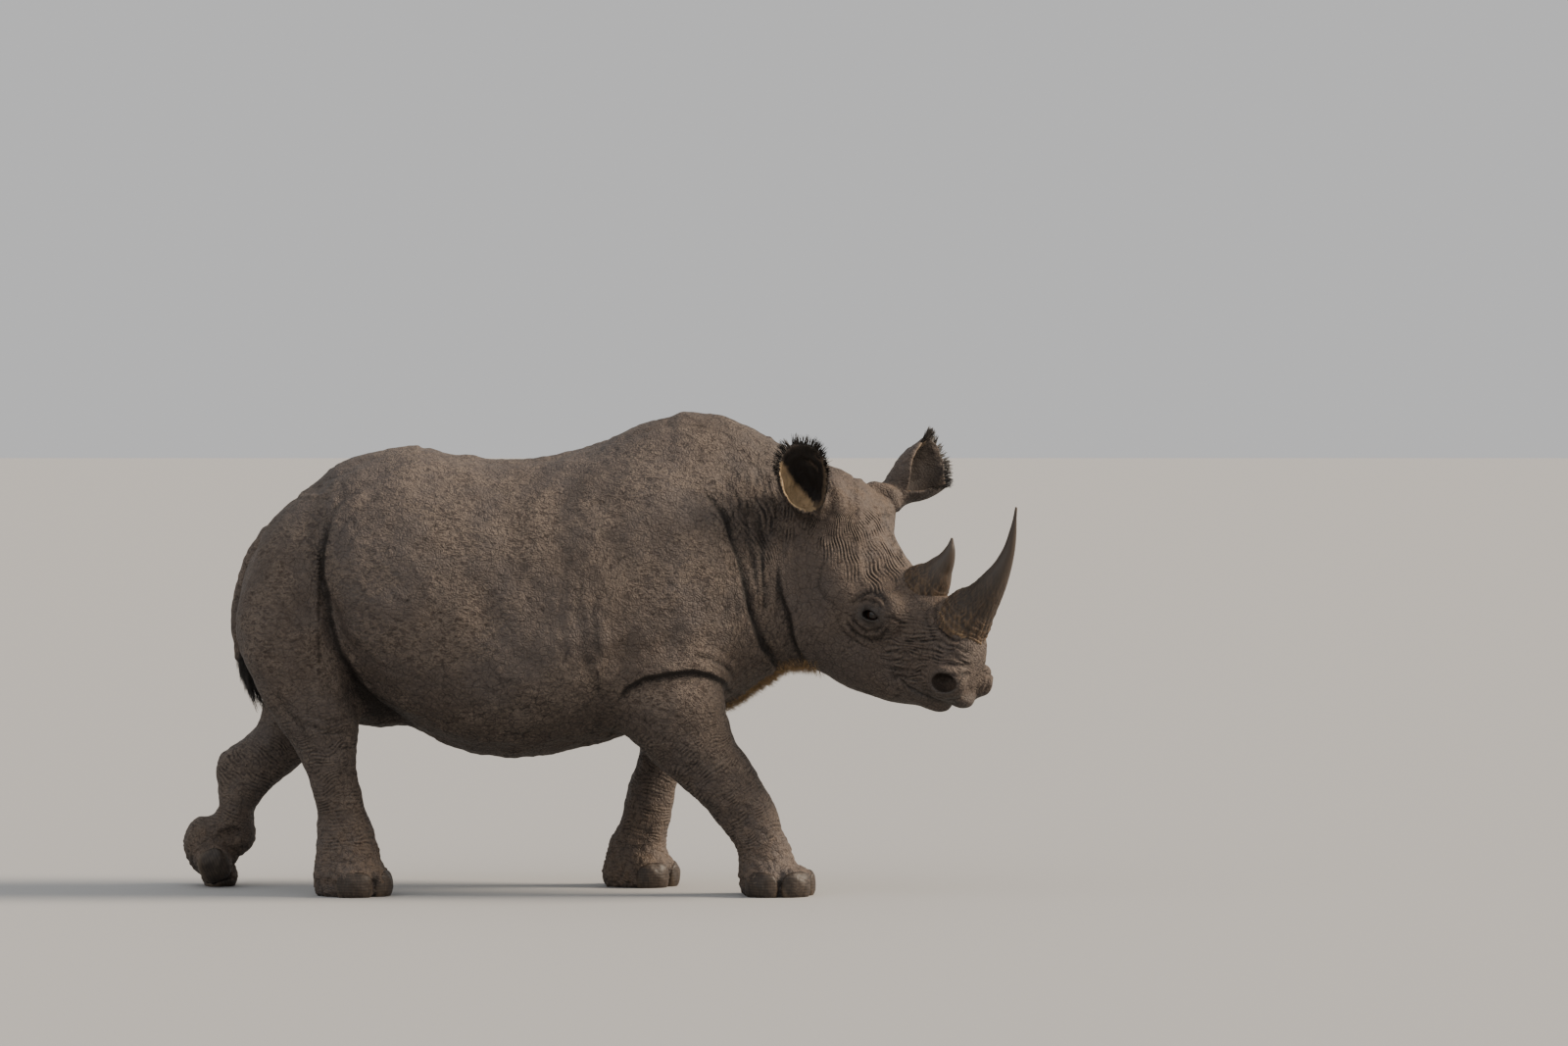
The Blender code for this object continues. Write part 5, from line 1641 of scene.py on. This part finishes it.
# Dark fringe along the rim of an ear, longest at the tip
def earFringe(name, tree, look):
    settings, ear = hair["fringe"], ears[name]
    rng = np.random.default_rng(settings["seeds"][name])
    n = settings["strands"]
    side = np.where(rng.uniform(size=n) < 0.42, -1, 1) * frontOf(ear)
    inFront = side == frontOf(ear)
    lowest = np.where(inFront, settings["from"], settings["rearFrom"])
    share = 1 - (1 - lowest) * rng.uniform(0, 1, n) ** 1.2
    radius, angle, back, thick = smoothRows(ears["rows"], share)
    turn = np.radians(rollAngle(ear, share, angle, inFront))
    ahead = smoothRows(ears["rows"], share + 0.01)
    behind = smoothRows(ears["rows"], share - 0.01)
    span = (ahead[0] * np.radians(ahead[1]) - behind[0] * np.radians(behind[1])) / 0.02
    size = np.hypot(ears["length"], span)
    outwards, upwards = ears["length"] / size, -span / size
    wall = rng.uniform(-0.5, 0.5, n) * np.maximum(thick, ears["leastWall"])
    across = side * (radius + wall) * np.sin(turn) * squeeze(ear, share, inFront)
    local = np.stack([back + radius - (radius + wall) * np.cos(turn), across, share * ears["length"]], 1)
    way = np.stack([outwards * np.sin(turn), side * outwards * np.cos(turn), upwards], 1)
    outer = np.stack([-np.cos(turn), side * np.sin(turn), 0 * turn], 1)
    way = way + 0.25 * outer + rng.normal(0, 0.22, (n, 3)) + [0, 0, 0.35]
    long = settings["long"] * (0.45 + 0.75 * ramp(share, 0.3, 0.6))
    local = local - 0.003 * way / np.linalg.norm(way, axis=1)[:, None]
    m = np.array(earMatrix(ear))[:3, :3]
    roots = toWorld(local, earMatrix(ear))
    places = np.stack([0.5 + 0.45 * side * (1 - share), 0.1 + 0.8 * (wall / 0.02 + 0.5)], 1)
    makeHair(f"ear_fringe_{name}", tree, settings, roots, way @ m.T, outer @ m.T, long, places, look)


tuftRows = [  # up, middle along, half size fore and aft, half size across
    (0.865, -1.212, 0.026, 0.030),
    (0.800, -1.209, 0.025, 0.029),
    (0.735, -1.200, 0.025, 0.033),
    (0.670, -1.175, 0.027, 0.037),
    (0.615, -1.150, 0.018, 0.030),
    (0.580, -1.138, 0.006, 0.010),
]


def tailTuft(tree, look):
    settings, rng = hair["tuft"], np.random.default_rng(hair["tuft"]["seed"])
    n = settings["strands"]
    start = 0.765 + 0.095 * rng.uniform(0, 1, n) ** 1.6
    stop = np.clip(start - rng.uniform(0.09, 0.20, n), 0.584, 0.74)
    turn = rng.uniform(0, 2 * np.pi, n)
    reach = np.sqrt(rng.uniform(0.2, 1, n))

    def at(up, share):
        middle, fore, across = smoothRows(tuftRows, up)
        return np.stack([middle + share * fore * np.cos(turn), share * across * np.sin(turn), up], 1)

    roots, tips = at(start, 0.62 * reach), at(stop, 0.97 * reach)
    ways = tips - roots
    long = np.linalg.norm(ways, axis=1) * 0.86
    droop = np.stack([np.cos(turn), np.sin(turn), 0 * turn], 1)
    places = np.stack([0.05 + 0.9 * turn / (2 * np.pi), 0.05 + 0.9 * (start - 0.76) / 0.11], 1)
    makeHair("tail_tuft_hair", tree, settings, roots, ways, droop, long, places, look, "tail_tuft")


def lashes(name, side, tree, look):
    settings, rng = hair["lashes"], np.random.default_rng(hair["lashes"]["seeds"][name])
    n = settings["strands"]
    upper = np.arange(n) < 0.7 * n
    long, high = head["opening"]
    x = long * 0.92 * rng.uniform(-1, 1, n)
    z = high * np.sqrt(1 - (x / long) ** 2) * np.where(upper, 1, -1) - 0.25 * x * x / long
    out = np.sqrt(head["lid"] ** 2 - x * x - z * z) - 0.0015
    rim = np.stack([x, side * out, z + np.where(upper, 0.001, -0.001)], 1)
    roots = toWorld(np.array(head["eye"]) * [1, side, 1] + rim, headMatrix())
    splayed = x * 8 + rng.normal(0, 0.12, n)
    way = np.stack([splayed, side * np.ones(n), np.where(upper, 0.15, -0.45) + rng.normal(0, 0.1, n)], 1)
    droop = np.stack([0 * x, 0 * x, np.where(upper, 1.0, -1.0)], 1)
    m = np.array(headMatrix())[:3, :3]
    places = np.stack([0.5 + 12 * x, np.where(upper, 0.7, 0.3)], 1)
    longs = settings["long"] * np.where(upper, 1.0, 0.55)
    makeHair(f"eyelashes_{name}", tree, settings, roots, way @ m.T, droop @ m.T, longs, places, look)


# Short golden bristles along the underside of throat and brisket
def bristles(skinMesh, tree, look):
    settings, rng = hair["bristles"], np.random.default_rng(hair["bristles"]["seed"])
    p = pointsOf(skinMesh) - np.array(stance["toOrigin"])
    skinMesh.calc_loop_triangles()
    corners = np.empty(len(skinMesh.loop_triangles) * 3, np.int32)
    skinMesh.loop_triangles.foreach_get("vertices", corners)
    a, b, c = p[corners.reshape(-1, 3)].transpose(1, 0, 2)
    cross = np.cross(b - a, c - a)
    area = np.linalg.norm(cross, axis=1)
    normal = cross / np.maximum(area, 1e-12)[:, None]
    middle = (a + b + c) / 3
    below = ramp(-normal[:, 2], 0.25, 0.4)
    reach = bump(middle[:, 0], settings["from"], settings["to"], 0.05)
    reach = reach * (middle[:, 2] < 0.84) * (middle[:, 2] > 0.56)
    inner = ramp(np.abs(middle[:, 1] + 0.3 * np.maximum(middle[:, 0] - 0.5, 0)), 0.13, -0.04)
    weight = area * below * reach * inner
    n = settings["strands"]
    chosen = rng.choice(len(weight), n, p=weight / weight.sum())
    u, v = rng.uniform(size=(2, n, 1))
    over = (u + v) > 1
    u, v = np.where(over, 1 - u, u), np.where(over, 1 - v, v)
    roots = a[chosen] + u * (b - a)[chosen] + v * (c - a)[chosen]
    way = normal[chosen] + [0.35, 0, -0.2] + rng.normal(0, 0.22, (n, 3))
    way /= np.linalg.norm(way, axis=1)[:, None]
    long = settings["long"] * rng.uniform(0.55, 1.15, n)
    droop = np.tile([1.0, 0.0, -0.4], (n, 1))
    places = np.stack([0.05 + 0.9 * (roots[:, 0] - 0.3) / 0.5, 0.5 + 3 * roots[:, 1]], 1)
    makeHair("brisket_bristles", tree, settings, roots - 0.002 * way, way, droop, long, places, look)


studio = {
    "camera": {"place": (0.61, -26.0, 1.852), "pitch": 88.6, "lens": 178.4, "sensor": 36, "farthest": 400},
    "floor": {"half": 90.0, "colour": (0.355, 0.352, 0.345, 1), "roughness": 0.9},
    "world": {"Color": (0.85, 0.85, 0.855, 1), "Strength": 0.70},
    # light comes from the side given as towards: along, across and up
    "key": {"towards": (0.86, -0.02, 0.52), "strength": 6.8, "angle": 20.0, "colour": (1.0, 0.85, 0.68)},
    "fill": {"towards": (-0.45, -0.70, 0.85), "strength": 0.9, "angle": 90.0, "colour": (0.95, 0.97, 1.0)},
}


def placed(name, data, place, turn):
    made = newObject(name, data)
    made.location, made.rotation_euler = place, turn
    return made


def makeStudio():
    made = studio["camera"]
    lens = bpy.data.cameras.new("camera")
    lens.lens, lens.sensor_width, lens.clip_end = made["lens"], made["sensor"], made["farthest"]
    at = Vector(made["place"]) + Vector(stance["toOrigin"])
    bpy.context.scene.camera = placed("camera", lens, at, (math.radians(made["pitch"]), 0, 0))
    for name in ("key", "fill"):
        made, light = studio[name], bpy.data.lights.new(name + "_light", "SUN")
        light.energy, light.angle = made["strength"], math.radians(made["angle"])
        light.color = made["colour"]
        turn = Vector(made["towards"]).to_track_quat("Z", "Y").to_euler()
        placed(name + "_light", light, (0, 0, 0), turn)
    world = bpy.data.worlds.new("studio")
    world.use_nodes = True
    feed(world.node_tree.nodes["Background"], studio["world"])
    bpy.context.scene.world = world
    made = studio["floor"]
    corners = [(made["half"] * x, made["half"] * y, 0) for x, y in ((-1, -1), (1, -1), (1, 1), (-1, 1))]
    floor = newObject("studio_floor", plainMesh("studio_floor", corners, [(0, 1, 2, 3)]))
    look = bpy.data.materials.new("pale_floor")
    look.use_nodes = True
    shader = look.node_tree.nodes["Principled BSDF"]
    feed(shader, {"Base Color": made["colour"], "Roughness": made["roughness"]})
    floor.data.materials.append(look)


def main():
    makeStudio()
    body = makeSkin(skinLook())
    print("skin done")
    hornMaterial, nailMaterial, eyeMaterial = hornLook(), nailLook(), eyeLook()
    for name in ("horn_front", "horn_rear"):
        makeHorn(name, hornMaterial)
    for name, side in sides.items():
        makeEye(name, side, eyeMaterial)
    for legName in legs:
        for toe in feet["toes"]:
            makeNail(legName, toe, nailMaterial)
    print("horns, eyes and nails done")
    tree = hairTree()
    darkHair = hairLook("dark_hair")
    for name, side in sides.items():
        earFringe(name, tree, darkHair)
        lashes(name, side, tree, darkHair)
    tailTuft(tree, darkHair)
    bristles(body.data, tree, hairLook("golden_hair"))


main()
